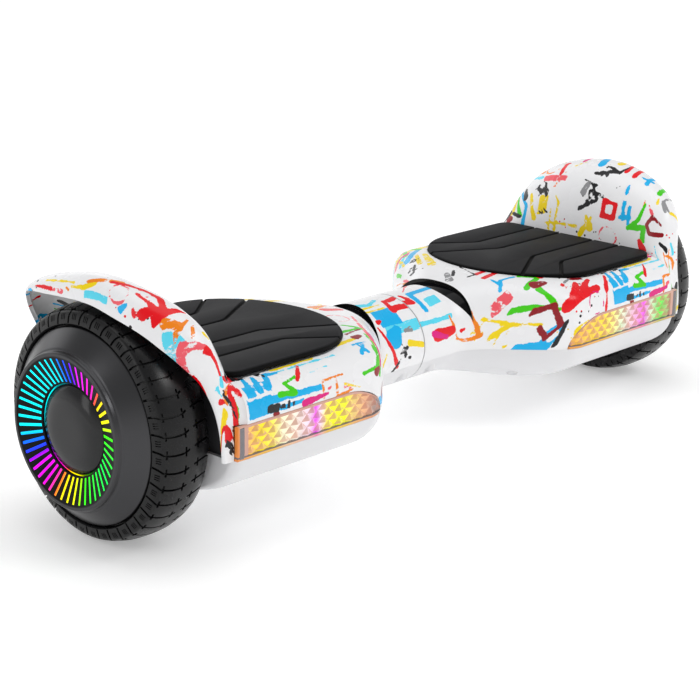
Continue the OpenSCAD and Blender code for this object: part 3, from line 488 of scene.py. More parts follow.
RIGHT_MARKS = strokes(
    ("aqua", "bar", [9, 368, -37, 405, -37], [5, 60, -1, 63, -23]),
    ("aqua", "brush", [5, 270, 72, 293, 59], [6, 363, -4, 374, -8, 385, -3], [4, 77, -71, 92, -85],
        [2, 140, -124, 146, -130]),
    ("cyan", "bar", [7, 291, -127, 305, -121], [17, 366, -25, 389, -25]),
    ("cyan", "brush", [3.6, 280, -89, 291, -80], [3, 281, -79, 297, -78], [3, 287, -89, 284, -78],
        [9, 274, 79, 303, 64], [17, 374, -43, 379, -38], [4, 63, -35, 68, -38], [5, 65, 57, 69, 65]),
    ("rose", "brush", [4.4, 300, -85, 318, -52, 335, -27], [3, 288, 59, 301, 47],
        [2.2, 340, -77, 356, -69], [2, 341, -65, 354, -59],
        [4, 87, -84, 100, -91, 118, -99], [3, 60, 22, 64, 45],
        [7, 146, -111, 157, -91]),
    ("rose", "ring", [1.1, 316, -30, 9], [1.3, 72, -28, 7]),
    ("rose", "spatter", [1.4, 258, -106, 8]),
    ("yellow", "bar", [2, 363, -16, 384, -16], [1.8, 363, -11, 383, -11]),
    ("yellow", "brush", [5, 268, -73, 297, -71], [2, 254, -107, 270, -113], [6, 283, -137, 291, -131],
        [5, 325, 1, 345, 15], [7, 310, 38, 326, 34], [6, 296, 57, 309, 52], [6, 389, -50, 405, -55],
        [3, 354, -66, 362, -54], [5, 109, -86, 114, -88], [4.6, 69, -6, 64, 0, 63, 13],
        [2, 66, 11, 69, 42], [5, 142, -149, 146, -139]),
    ("orange", "bar", [3, 99, -87, 99, -80]),
    ("orange", "brush", [3.6, 240, -73, 267, -73], [8, 325, 4, 341, 8], [5, 80, -21, 69, -1],
        [6, 80, -67, 91, -75], [5, 86, -78, 97, -75], [3, 61, 15, 63, 18]),
    ("green", "brush", [4, 274, -104, 288, -102, 294, -94, 298, -82],
        [2.8, 292, -107, 300, -84, 307, -65], [5, 293, -57, 313, -57, 305, -45]),
    ("red", "bar", [6, 387, -19, 405, -20], [5, 392, -9, 405, -7]),
    ("red", "brush", [2.6, 304, -79, 315, -59], [10, 330, -5, 343, -7], [6, 388, -21, 390, -8],
        [4, 375, -67, 368, -50, 361, -33], [4, 365, -28, 368, -27], [6, 75, -61, 99, -66],
        [7, 71, -51, 86, -61], [5, 80, -57, 79, -38], [5.4, 84, -61, 90, -50, 87, -37, 76, -17],
        [4.4, 112, -97, 138, -114], [3.4, 67, -46, 69, -44], [3, 62, 33, 67, 52],
        [5, 153, -142, 153, -112, 161, -89], [5, 144, -113, 153, -93], [4, 144, -134, 146, -133],
        [4, 135, -151, 148, -152], [7, 147, -152, 145, -160]),
    ("red", "spatter", [1.6, 84, -45, 12]),
    ("pink", "brush", [2.8, 296, -99, 306, -78, 317, -57]),
    ("wine", "brush", [6, 287, -105, 292, -102], [7, 293, -70, 299, -68], [3.2, 292, -62, 310, -58],
        [4, 297, -121, 300, -110]),
    ("grey", "bar", [4, 385, -40, 395, -40]),
    ("grey", "brush", [2.6, 379, -56, 386, -53]),
    ("black", "brush", [2.6, 305, -123, 313, -112], [3, 371, -70, 377, -62]),
    ("black", "spatter", [1.7, 383, -56, 8], [1.6, 150, -128, 6], [1.3, 96, -30, 7],
        [1.4, 146, -163, 5]))


def moved(marks, x_sign, y_sign, shift):
    """The same marks turned over along or round the board, so that they fill other parts of it."""
    def place(p):
        return (shift + x_sign * p[0], y_sign * p[1]) if isinstance(p, tuple) else p
    return [(*mark[:3], *[place(p) for p in mark[3:]]) for mark in marks]


def placed_marks(side):
    """Listed marks of one half; the moved ones fill its back, or the fender's other end."""
    if side == "left":
        marks = SHARED_MARKS + DECK_MARKS + LEFT_MARKS + FENDER_MARKS
        return marks + moved(SHARED_MARKS, -1, -1, 330) + moved(DECK_MARKS, 1, -1, 20)
    inner = [mark for mark in FENDER_MARKS if mark[3][0] < FENDER_FOLD and mark[0] != "grey"]
    marks = SHARED_MARKS + RIGHT_MARKS + moved(inner, -1, 1, PRINT_SHIFT)
    return marks + moved(SHARED_MARKS, -1, -1, 480) + moved(DECK_MARKS, -1, -1, 385)


def loose_mark(dice, place):
    """One stroke of a seeded kind, ink, size and direction."""
    ink = dice.choice(list(LOOSE_INKS), p=list(LOOSE_INKS.values()))
    kind = dice.choice(list(LOOSE_KINDS), p=list(LOOSE_KINDS.values()))
    turn, reach = dice.uniform(0, math.pi), dice.uniform(6, 14)
    run = np.array([math.cos(turn), math.sin(turn)]) * reach
    if kind == "ring":
        return ink, kind, 1.3, tuple(place), reach * 0.7
    if kind == "bar":
        return ink, kind, dice.uniform(3, 11), tuple(place - run * 0.7), tuple(place + run * 0.7)
    points = [tuple(place - run), tuple(place + run)]
    if kind == "hook":
        points.append(tuple(place + run + np.array([-run[1], run[0]]) * dice.uniform(-1.2, 1.2)))
    return ink, "brush", dice.uniform(2.5, 9), *points


def loose_marks(side, placed):
    """Strokes over the back and the outer ends, wherever the listed marks leave the shell bare."""
    dice = np.random.default_rng(LOOSE_SEED[side])
    marks = []
    for u in np.arange(*LOOSE_ALONG, LOOSE_PITCH):
        for y in np.arange(*LOOSE_ROUND, LOOSE_PITCH):
            place = np.array([u, y]) + dice.uniform(-LOOSE_STRAY, LOOSE_STRAY, 2)
            back = y > (NECK_BACK_Y if u < NECK_END else BACK_Y)
            hidden = back or u > END_ALONG[side] or y < UNDER_Y
            along = place if side == "left" else place * (-1, 1) + (PRINT_SHIFT, 0)
            mark = loose_mark(dice, along)
            if hidden and mark_distance(along[None], placed)[0] > LOOSE_CLEAR:
                marks.append(mark)
    return marks


def bar_field(flat, width, start, end):
    """Distance outside a square-ended bar, negative inside it."""
    start, end = np.array(start, float), np.array(end, float)
    length = np.linalg.norm(end - start)
    along = (end - start) / length
    place = flat - (start + end) / 2
    return np.maximum(np.abs(place @ along) - length / 2,
                      np.abs(place @ (-along[1], along[0])) - width / 2)


def brush_field(flat, width, *points):
    """Distance outside a round-ended stroke that narrows towards its last point."""
    knots = np.array(points, float)
    sizes = np.linspace(width / 2, width * 0.28, len(knots))
    result = np.full(len(flat), FIELD_REACH)
    for i in range(len(knots) - 1):
        run = knots[i + 1] - knots[i]
        t = np.clip((flat - knots[i]) @ run / (run @ run), 0, 1)
        gap = np.linalg.norm(flat - knots[i] - t[:, None] * run, axis=1)
        result = np.minimum(result, gap - mix(sizes[i], sizes[i + 1], t))
    return result


def ring_field(flat, width, centre, reach):
    """Distance outside a thin ring."""
    return np.abs(np.linalg.norm(flat - centre, axis=1) - reach) - width / 2


def spatter_field(flat, width, centre, reach):
    """Distance outside a cluster of dots, thicker near its centre."""
    dice = np.random.default_rng(int(centre[0] * 7 + abs(centre[1])))
    result = np.full(len(flat), FIELD_REACH)
    for _ in range(SPATTER_DOTS):
        turn, share, size = dice.uniform(0, 2 * math.pi), dice.uniform(0, 1), dice.uniform(0.25, 0.75)
        place = np.array(centre) + np.array([math.cos(turn), math.sin(turn)]) * reach * share
        result = np.minimum(result, np.linalg.norm(flat - place, axis=1) - width * size)
    return result


FIELDS = {"bar": bar_field, "brush": brush_field, "ring": ring_field, "spatter": spatter_field}


def mark_distance(flat, marks):
    """Distance in millimetres from each point to the nearest of some marks, negative inside one."""
    result = np.full(len(flat), FIELD_REACH)
    for _, kind, width, *points in marks:
        result = np.minimum(result, FIELDS[kind](flat, width, *points))
    return result


# ---------------------------------------------------------------- shells
# Foot pad and its two pins
PAD_IN, PAD_OUT, PAD_HALF_Y = 92.0, 242.0, 79.0
PAD_CORNER, PAD_NOSE, PAD_CLEAR = 12.0, 66.0, 0.6
RECESS_Z = 118.0
PIN_U, PIN_Y, PIN_R, PIN_LOW = 172.0, 40.0, 3.6, 106.0
# Headlight: a square end outboard and a curved blade inboard
LENS_IN, LENS_BLADE, LENS_OUT = 110.0, 40.0, 253.0
LENS_LOW, LENS_TOP, LENS_GAP = 70.3, 94.0, 0.4
# The two round holes in the left half's back, and the notch for the charging cap's hinge
PORT_US, PORT_Z, PORT_R = (140.0, 185.0), 86.0, 11.4
PORT_FACE, PORT_DEEP = 97.6, 16.0
HINGE_HALF, HINGE_LOW, HINGE_TOP, HINGE_DEEP = 3.6, 74.0, 78.0, 3.6
# Screws in the underside: distance from the seam and half the gap between the pair
SCREWS = [[16, 28], [92, 52], [228, 58]]
HEAD_R, HEAD_SINK, SHANK_R, BOSS_R, BOSS_FOOT = 4.2, 5.0, 2.0, 5.5, 1.5
# Crescent window, and the zone of dark wall under it
WINDOW_HALF, WINDOW_TRIM = 42.0, 0.3
WINDOW_NECK_U, WINDOW_DECK_U, WINDOW_TIP_U = 40.0, 57.0, 54.0
WINDOW_WELL = (36, 62)
DECK_FROM = 84
# How far a cutter reaches past the skin, and how many points lie round each row of the top shell
BEYOND = 20.0
ROUND_STEPS = 241
# Added to the depth of a shell's own faces, so that a face left by a cutter stands out with nought
OWN_SKIN = 2.0


def pad_outline(grow):
    """The pad's outline: a wide round nose inboard and two small corners outboard."""
    b = np.radians(np.arange(-90, 90.1, 3))
    nose = [[PAD_IN + PAD_NOSE - (PAD_NOSE + grow) * math.cos(t), (PAD_HALF_Y + grow) * math.sin(t)]
            for t in b]
    c = np.radians(np.arange(90, -0.1, -7.5))
    corner = [[PAD_OUT - PAD_CORNER + (PAD_CORNER + grow) * math.cos(t),
               PAD_HALF_Y - PAD_CORNER + (PAD_CORNER + grow) * math.sin(t)] for t in c]
    return nose + corner + [[p[0], -p[1]] for p in corner[::-1]]


def lens_outline(grow, low=LENS_LOW, out=LENS_OUT, inner=LENS_IN):
    """The headlight's outline, square outboard and curved to a point inboard."""
    blade = [[inner + LENS_BLADE - (LENS_BLADE + grow) * math.cos(a),
              low - grow + (LENS_TOP - low + 2 * grow) * math.sin(a)]
             for a in np.radians(np.arange(0, 90.1, 5))]
    return [[out + grow, low - grow]] + blade + [[out + grow, LENS_TOP + grow]]


def window_edges(y):
    """Distances from the seam of the crescent's neck side and deck side at depth y."""
    k = (y / WINDOW_HALF) ** 2
    return mix(WINDOW_NECK_U, WINDOW_TIP_U, k), mix(WINDOW_DECK_U, WINDOW_TIP_U, k)


def crescent():
    """The crescent window's outline, short of its two sharp tips."""
    ys = np.linspace(-WINDOW_HALF + WINDOW_TRIM, WINDOW_HALF - WINDOW_TRIM, 61)
    neck, deck = window_edges(ys)
    return list(zip(neck, ys)) + list(zip(deck[::-1], ys[::-1]))


def print_coordinates(grid, stops, side):
    """Flat coordinates of the printed pattern: along the board, and round it from the crown."""
    step = np.linalg.norm(np.diff(grid, axis=1), axis=-1)
    middle = grid.shape[1] // 2
    around = np.concatenate([np.zeros((len(grid), 1)), np.cumsum(step, axis=1)], axis=1)
    around -= around[:, middle:middle + 1]
    along = np.repeat(np.minimum(stops, FOOT_U)[:, None], grid.shape[1], axis=1)
    run = np.linalg.norm(np.diff(grid, axis=0), axis=-1) * (stops[1:] > FOOT_U)[:, None]
    along[1:] += np.cumsum(run, axis=0)
    if side == "right":
        along = PRINT_SHIFT - along
    return np.stack([along, around], -1)


def corner_points(obj):
    """The point number of each face corner."""
    corners = np.zeros(len(obj.data.loops), np.int32)
    obj.data.loops.foreach_get("vertex_index", corners)
    return corners


def add_map(obj, name, outer, inner):
    """Keeps two numbers for each point of a sheet as a UV map, which booleans carry to new points."""
    layer = obj.data.uv_layers.new(name=name)
    points = np.concatenate([outer.reshape(-1, 2), inner.reshape(-1, 2)]) * MM
    layer.data.foreach_set("uv", points[corner_points(obj)].astype(np.float32).ravel())


def take_map(obj, name):
    """Two numbers for each face corner from a UV map, which is then removed."""
    layer = obj.data.uv_layers[name]
    values = np.zeros(2 * len(layer.data), np.float32)
    layer.data.foreach_get("uv", values)
    obj.data.uv_layers.remove(layer)
    return values.reshape(-1, 2) / MM


def take_print(obj):
    """Print coordinates, depth below the skin and darkness of each point; a cut face counts as deep."""
    corners = corner_points(obj)
    flat, cover = take_map(obj, "print"), take_map(obj, "skin")
    count = len(obj.data.vertices)
    own = cover[:, 0] > OWN_SKIN / 2
    place = np.zeros((count, 2))
    depth, dark = np.ones(count), np.zeros(count)
    place[corners[own]] = flat[own]
    dark[corners[own]] = cover[own, 1]
    np.minimum.at(depth, corners[own], cover[own, 0] - OWN_SKIN)
    return place, np.stack([depth, dark, 0 * dark], -1)


def add_vectors(obj, name, values):
    layer = obj.data.attributes.new(name, "FLOAT_VECTOR", "POINT")
    layer.data.foreach_set("vector", values.astype(np.float32).ravel())


def cut_openings(obj, side):
    """The pad's recess, the headlight, the crescent window, the pad's pins and the two round ports."""
    boolean(obj, prism(pad_outline(PAD_CLEAR), RECESS_Z, RECESS_Z + BEYOND, side))
    boolean(obj, prism(lens_outline(LENS_GAP), -HALF_DEPTH - BEYOND, 0, side, axis=1))
    boolean(obj, prism(crescent(), AXLE_Z, AXLE_Z + 3 * BEYOND, side))
    for y in (-PIN_Y, PIN_Y):
        boolean(obj, rod((PIN_U, y), PIN_R, PIN_LOW, PIN_LOW + BEYOND, side))
    if side == "left":
        for u in PORT_US:
            low, high = PORT_FACE - PORT_DEEP, PORT_FACE + BEYOND
            boolean(obj, rod((u, PORT_Z), PORT_R, low, high, side, axis=1, steps=96))
        low_u, high_u = PORT_US[0] - HINGE_HALF, PORT_US[0] + HINGE_HALF
        notch = [[low_u, HINGE_LOW], [high_u, HINGE_LOW], [high_u, HINGE_TOP], [low_u, HINGE_TOP]]
        boolean(obj, prism(notch, PORT_FACE - HINGE_DEEP, PORT_FACE + BEYOND, side, axis=1))


def print_marks(obj, side):
    """Keeps on each point how far it is from the marks of each ink, three inks to an attribute."""
    flat, cover = take_print(obj)
    add_vectors(obj, "skin", cover)
    placed = placed_marks(side)
    marks = placed + loose_marks(side, placed)
    for k in range(0, len(INKS), 3):
        fields = [mark_distance(flat, [mark for mark in marks if mark[0] == ink])
                  for ink in INKS[k:k + 3]]
        add_vectors(obj, f"print_{k // 3}", np.stack(fields, -1))


def top_shell(side):
    """The printed upper cover with its fender, hollow, with its openings and its print."""
    stops = shell_stops()
    share = np.linspace(-1, 1, ROUND_STEPS)
    outer = np.array([skin(s, share * edge_angle(min(s, FOOT_U), PART_Z + PART_GAP)) for s in stops])
    normal = outward(outer)
    if normal[5, ROUND_STEPS // 2, 2] < 0:
        normal = -normal
    inner = outer - normal * WALL
    deck = (stops > DECK_FROM) & (stops <= FOOT_U)
    inner[deck, :, 2] = np.minimum(inner[deck, :, 2], DECK_UNDER)
    obj = sheet(f"{side}_top_cover", outer, inner, side)
    flat = print_coordinates(outer, stops, side)
    well = (stops > WINDOW_WELL[0]) & (stops < WINDOW_WELL[1])
    dark, under = [np.repeat(rows[:, None], ROUND_STEPS, axis=1).astype(float)
                   for rows in (well, stops <= FOOT_U)]
    add_map(obj, "print", flat, flat)
    add_map(obj, "skin", *[np.stack([OWN_SKIN + depth, dark], -1) for depth in (0 * dark, under)])
    cut_openings(obj, side)
    print_marks(obj, side)
    return smooth(obj, 40)


def low_skin(s, a):
    """Outer skin of the bottom shell: along the body, round the corner, then in across its end wall."""
    t = s - END_U
    u = s if t <= 0 else END_U + CORNER_U * math.sin(math.pi / 2 * min(t, 1))
    k = 1 if t <= 0 else 1 - 0.08 * (1 - math.cos(math.pi / 2 * min(t, 1))) - max(t - 1, 0) * 0.3
    points = polar(u, k * radius(min(s, END_U), a), a, mid(min(s, END_U)))
    points[..., 2] = np.minimum(points[..., 2], PART_Z - PART_GAP)
    return points


def low_normal(s, a):
    """Unit normals of the bottom shell, level along its upper edges."""
    if s < END_U - 1:
        along = low_skin(s + 0.5, a) - low_skin(max(s - 0.5, 0), a)
        across = low_skin(s, a + 0.004) - low_skin(s, a - 0.004)
        normal = np.cross(along, across)
        normal *= np.sign((normal * (low_skin(s, a) - (s, 0, mid(s)))).sum(-1, keepdims=True))
    else:
        bend = math.pi / 2 * min(max(s - END_U, 0), 1)
        normal = np.stack([np.full_like(a, math.sin(bend)), math.cos(bend) * np.sin(a),
                           math.cos(bend) * np.cos(a)], -1)
    normal[[0, -1], 2] = 0
    return normal / np.linalg.norm(normal, axis=-1, keepdims=True)


def bottom_shell(side):
    """The plain lower cover, hollow, with bosses and recesses for its screws."""
    top = PART_Z - PART_GAP
    stops = np.concatenate([[SEAM], np.arange(3, 130, 2.5), np.arange(130, END_U, 4.0),
                            END_U + np.linspace(0, 1, 9), [END_U + 1.5, END_U + 2]])
    share = np.linspace(-1, 1, 161)
    rows = [(s, math.pi + share * (math.pi - edge_angle(min(s, END_U), top))) for s in stops]
    outer = np.array([low_skin(s, a) for s, a in rows])
    inner = outer - np.array([low_normal(s, a) for s, a in rows]) * WALL
    inner[..., 2] = np.minimum(inner[..., 2], top)
    obj = sheet(f"{side}_bottom_cover", outer, inner, side)
    for u, half in SCREWS:
        for y in (-half, half):
            low = float(low_at(u, y))
            boolean(obj, rod((u, y), BOSS_R, low + BOSS_FOOT, top, side), "UNION")
            boolean(obj, rod((u, y), HEAD_R, low - BEYOND, low + HEAD_SINK, side))
            boolean(obj, rod((u, y), SHANK_R, low, PART_Z - 1, side))
    return smooth(obj, 40)


# ---------------------------------------------------------------- wheels
# Tyre section: the tread's fall to its shoulders, where it turns into a wall, and where the wall ends
TREAD_DROP, SHOULDER_T, WALL_T, WALL_FOOT_R, RIM_R = 5.2, 0.86, 1.34, 70.6, 61.5
# Tread cuts: how many of each round the tyre, their width and depth, and the width of the finer ones
SIPES, SIPE_W, SIPE_DEPTH, TICK_W = 40, 1.7, 1.9, 0.9
# Hub face: its slots, the dish they lie in, the bead round the dish and the cap in the middle
SLOTS, SLOT_IN, SLOT_OUT, SLOT_W = 48, 33.0, 50.1, 2.1
DISH_R, DISH_DROP, DISH_SLOPE = 31.8, 7.3, 0.3704
BEAD_R = 51.0
CAP_R, CAP_TOP, CAP_FALL = 31.0, 2.4, 6.2
# Cuts as (t, turn) points, with t as in tyre_surface() and the turn in degrees; a tick has a reach too
SIPE_PATHS = [[[1.33, 0.9], [1.12, 0.5], [1.0, 0.0], [0.9, -0.4], [0.8, -0.75], [0.5, -1.3],
               [0.16, -0.9], [0.0, 0.25]],
              [[-0.18, 1.1], [-0.3, 1.6], [-0.55, 2.45], [-0.8, 2.5], [-0.92, 2.2], [-1.1, 1.6]]]
SIPE_TICKS = [[0.79, -0.5, 2.1], [0.14, -0.6, 2.3], [-0.32, 1.7, 2.2], [-0.86, 2.4, 2.0]]
SHOULDER_TICKS = [[[1.22, turn], [1.0, turn]] for turn in (4.1, 5.3, 6.5)]
SHOULDER_TICKS += [[[-1.22, 6.4], [-1.0, 6.3]]]


def tyre_surface(t):
    """(distance, radius) on the tyre: t runs from -1 to 1 over the tread and further down each wall."""
    centre, half = (TYRE_IN + TYRE_OUT) / 2, (TYRE_OUT - TYRE_IN) / 2
    flat = min(abs(t), SHOULDER_T)
    tread = np.array([flat * half, TYRE_R - TREAD_DROP * flat ** 2.6])
    if abs(t) > SHOULDER_T:
        over = (abs(t) - SHOULDER_T) / (WALL_T - SHOULDER_T)
        corner = np.array([half - 1.1, tread[1] - 2.0])
        foot = np.array([half - 0.1, WALL_FOOT_R])
        tread = tread * (1 - over) ** 2 + corner * 2 * over * (1 - over) + foot * over ** 2
    return np.array([centre + math.copysign(tread[0], t), tread[1]])


def tyre_frame(t, turn):
    """Point and outward normal on the tyre, at the angle turn in degrees from its front."""
    here = tyre_surface(t)
    ahead, behind = tyre_surface(t + 0.01), tyre_surface(t - 0.01)
    du, dr = ahead - behind
    a = math.radians(turn)
    out = np.array([0, -math.cos(a), math.sin(a)])
    normal = np.array([-dr, 0, 0]) + out * du
    point = np.array([here[0], 0, AXLE_Z]) + out * here[1]
    return point, normal / np.linalg.norm(normal)


def ribbon(frames, width, rise, depth):
    """Points and faces of a blade that follows a line over a surface."""
    points = []
    line = np.array([f[0] for f in frames])
    along = np.gradient(line, axis=0)
    for (point, normal), ahead in zip(frames, along):
        across = np.cross(normal, ahead)
        across *= width / 2 / np.linalg.norm(across)
        points += [point + across + normal * rise, point - across + normal * rise,
                   point - across * 0.7 - normal * depth, point + across * 0.7 - normal * depth]
    count = len(frames)
    faces = [[0, 1, 2, 3], [4 * count - 4, 4 * count - 3, 4 * count - 2, 4 * count - 1]]
    for i in range(count - 1):
        faces += [[4 * i + j, 4 * i + (j + 1) % 4, 4 * i + 4 + (j + 1) % 4, 4 * i + 4 + j]
                  for j in range(4)]
    return points, faces


def blades(lines, width, rise, depth, side):
    """One cutter from several lines of frames that don't touch each other."""
    points, faces = [], []
    for frames in lines:
        more, quads = ribbon(frames, width, rise, depth)
        faces += [[k + len(points) for k in quad] for quad in quads]
        points += more
    return mesh_object("blades", points, faces, side)


def eased_line(path, steps):
    """Points along a smooth line through the path's own points."""
    knots = np.array(path)
    place = np.arange(len(knots))
    table = [[p, *k] for p, k in zip(place, knots)]
    at = np.linspace(0, len(knots) - 1.002, steps)
    return np.stack([curve(table, at, c + 1) for c in range(knots.shape[1])], -1)


def tyre(side):
    """The tyre's turned section, cut by its sipes, ticks and shoulder notches."""
    centre = (TYRE_IN + TYRE_OUT) / 2
    tread = [tyre_surface(t)[::-1] for t in np.linspace(-WALL_T, WALL_T, 61)]
    outer_side = [[WALL_FOOT_R - 1, TYRE_OUT - 1.4], [WALL_FOOT_R - 1.4, TYRE_OUT - 4.1],
                  [RIM_R, TYRE_OUT - 4.4]]
    inner_side = [[RIM_R, centre - 18.4], [WALL_FOOT_R - 1.6, centre - 18.8],
                  [WALL_FOOT_R - 0.8, TYRE_IN + 1.4]]
    obj = turned(f"{side}_tread", inner_side + tread + outer_side, side, steps=240)
    sipes = [eased_line(path, 15) for path in SIPE_PATHS]
    ticks = [[(t, turn + reach * k) for k in (-1, -0.33, 0.33, 1)] for t, turn, reach in SIPE_TICKS]
    notches = [eased_line(path, 4) for path in SHOULDER_TICKS]
    turns = np.arange(SIPES) * 360 / SIPES
    for cuts, width, share in ((sipes, SIPE_W, 1), (ticks, SIPE_W, 0.8), (notches, TICK_W, 0.5)):
        lines = [[tyre_frame(t, base + turn) for t, turn in cut] for base in turns for cut in cuts]
        boolean(obj, blades(lines, width, 1.0, SIPE_DEPTH * share, side))
    return smooth(obj, 38)


def dish_u(r):
    """Height of the hub's concave face at radius r."""
    return HUB_U - DISH_DROP + (r - DISH_R) * DISH_SLOPE


def hub_cover(side):
    """The turned flange and dish of the hub, cut by the ring of slots."""
    edge = TYRE_R - 13.9
    profile = [[edge - 2.6, HUB_U - 19.5], [edge, HUB_U - 19.5], [edge + 0.3, HUB_U - 17.5],
               [edge - 0.4, HUB_U - 16.1], [56.4, HUB_U - 4.9], [54.9, HUB_U - 4.1], [54.6, HUB_U - 1.1],
               [53.7, HUB_U], [51.2, HUB_U], [50.7, HUB_U - 0.3], [DISH_R, dish_u(DISH_R)],
               [DISH_R, dish_u(DISH_R) - 1.8], [50.4, HUB_U - 2.3], [51.6, HUB_U - 3.1],
               [52.4, HUB_U - 5.3], [edge - 2.6, HUB_U - 18.1]]
    obj = turned(f"{side}_hub_face", fillet(profile, 0.5), side, steps=288)
    return smooth(boolean(obj, slot_bars(side, 0, 12, 8)), 28)


def slot_bars(side, clear, above, below):
    """The bars that fill the hub's slots, as solids from below to above the dished face."""
    points, faces = [], []
    low_r, high_r, half = SLOT_IN + clear, SLOT_OUT - clear, SLOT_W / 2 - clear
    for k in range(SLOTS):
        turn = math.radians(360 * k / SLOTS)
        start = len(points)
        for lift in (-below, above):
            for r, w in ((low_r, -half), (high_r, -half), (high_r, half), (low_r, half)):
                points.append([dish_u(r) + lift, r * math.sin(turn) + w * math.cos(turn),
                               AXLE_Z + r * math.cos(turn) - w * math.sin(turn)])
        box = [[0, 1, 2, 3], [4, 5, 6, 7], [0, 1, 5, 4], [1, 2, 6, 5], [2, 3, 7, 6], [3, 0, 4, 7]]
        faces += [[start + i for i in face] for face in box]
    return mesh_object("bars", points, faces, side)


def light_pipes(side):
    """The translucent ring behind the hub, with a bar that fills each slot."""
    bars = bevel(slot_bars(side, 0.06, -0.15, 2.6), 0.3, 2, 60)
    ring = turned("ring", [[32.4, dish_u(32.4) - 3.8], [32.4, dish_u(32.4) - 2.2],
                           [50.2, dish_u(50.2) - 2.2], [50.2, dish_u(50.2) - 3.8]], side)
    obj = boolean(bars, ring, "UNION")
    obj.name = f"{side}_light_pipes"
    return smooth(obj, 35)


def centre_cap(side):
    """The domed cap in the middle of the hub."""
    rise = [[r, HUB_U - CAP_TOP - CAP_FALL * (r / CAP_R) ** 5] for r in np.linspace(0, CAP_R, 32)]
    profile = rise + [[31.5, HUB_U - 9.4], [31.5, HUB_U - 11.5], [28.5, HUB_U - 11.5],
                      [28.5, HUB_U - 9.9], [18, HUB_U - 7.5], [0, HUB_U - 6.5]]
    return smooth(turned(f"{side}_dome", profile, side), 35)


# ---------------------------------------------------------------- foot pads
GROOVES = [[[248, 18], [157, 18], [104, 49]], [[248, 45], [160, 45], [128, 70]]]
GROOVE_W = 4.0
GROOVE_DEPTH = 1.9
GROOVE_BEND = 4
PAD_T, PIN_REACH = 4.6, 12.6


def groove_cutter(path, sign, side):
    """A blade along one bent groove, with the bend rounded."""
    line = np.array(path, float) * (1, sign)
    up = np.array([0, 0, 1.0])
    first, last = [line[1] + (end - line[1]) / np.linalg.norm(end - line[1]) * GROOVE_BEND
                   for end in (line[0], line[2])]
    bend = [first * (1 - t) ** 2 + line[1] * 2 * t * (1 - t) + last * t * t
            for t in np.linspace(0, 1, 6)]
    frames = [(np.array([*p, PAD_TOP]), up) for p in [line[0], *bend, line[2]]]
    return blades([frames], GROOVE_W, 1.0, GROOVE_DEPTH, side)


def foot_pad(side):
    """The rubber pad with its four bent grooves and the two pins that press the switches."""
    obj = bevel(prism(pad_outline(0), PAD_TOP - PAD_T, PAD_TOP, side), 1.7, 4, 40)
    for path in GROOVES:
        for sign in (-1, 1):
            boolean(obj, groove_cutter(path, sign, side))
    obj.name = f"{side}_pad"
    bevel(obj, 0.5, 2, 40)
    for y in (-PIN_Y, PIN_Y):
        pin = rod((PIN_U, y), PIN_R - PAD_CLEAR, PAD_TOP - PIN_REACH, PAD_TOP - 4, side)
        boolean(obj, pin, "UNION")
    return smooth(obj, 35)


# ---------------------------------------------------------------- front lights and windows
FACET_U, FACET_Z, FACET_H = 10.6, 9.4, 1.9
RIM_W = 1.6
RIM_FOOT = 0.7
PANEL_U, STRIP_U, END_LIGHT_U = 243.6, 247.0, 251.2
LENS_FRONT_Y, LENS_BACK_Y, LENS_DEEP_Y = -120.0, -84.0, -60.0
PANE_HALF, PANE_DROP, PANE_T, PANE_GAP = 37.4, 3.0, 2.0, 0.3


def front_point(u, z, depth):
    """A point on the front of the body, or depth behind it."""
    return [u, depth - float(side_y(u, z)), z]


def lens_facets(side):
    """Diamond pyramids on a lattice: points whose numbers add up to an even sum are their tips."""
    us = np.arange(LENS_IN - 8, LENS_OUT + 8, FACET_U / 2)
    zs = np.arange(LENS_LOW - 6, LENS_TOP + 8, FACET_Z / 2)
    rows = len(zs)
    points = [front_point(u, z, FACET_H * ((i + j) % 2))
              for i, u in enumerate(us) for j, z in enumerate(zs)]
    faces = []
    for i in range(len(us) - 1):
        for j in range(rows - 1):
            a, b, c, d = [i * rows + j + step for step in (0, rows, rows + 1, 1)]
            faces += [[a, b, c], [a, c, d]] if (i + j) % 2 else [[a, b, d], [b, c, d]]
    points += [[p[0], LENS_BACK_Y, p[2]] for p in points]
    obj = mesh_object(f"{side}_lens_facets", points, faces + back_and_rim(len(us), rows), side)
    inside = lens_outline(0.3 - RIM_W, low=LENS_LOW + RIM_FOOT, out=PANEL_U + RIM_W)
    return boolean(obj, prism(inside, LENS_FRONT_Y, LENS_BACK_Y - 2.5, side, axis=1), "INTERSECT")


def front_sheet(name, side, us, zs, depth_out, depth_in):
    grids = [np.array([[front_point(u, z, depth) for z in zs] for u in us])
             for depth in (depth_out, depth_in)]
    return sheet(name, *grids, side)


def lens_rim(side):
    us = np.linspace(LENS_IN - 2, LENS_OUT, 110)
    zs = np.linspace(LENS_LOW, LENS_TOP, 25)
    obj = front_sheet(f"{side}_lens_rim", side, us, zs, -0.3, 4.0)
    edge = lens_outline(0, inner=LENS_IN + 1)
    hole = lens_outline(-RIM_W, low=LENS_LOW + RIM_FOOT, out=PANEL_U + RIM_W)
    for outline, operation in ((edge, "INTERSECT"), (hole, "DIFFERENCE")):
        boolean(obj, prism(outline, LENS_FRONT_Y, LENS_DEEP_Y, side, axis=1), operation)
    return smooth(bevel(obj, 0.35, 2, 50), 35)


def lens_strip(side):
    us = np.linspace(STRIP_U, END_LIGHT_U, 4)
    zs = np.linspace(LENS_LOW + 0.9, LENS_TOP - 0.8, 20)
    strip = front_sheet(f"{side}_lens_strip", side, us, zs, -0.6, 3.0)
    return smooth(bevel(strip, 0.5, 3, 50), 35)


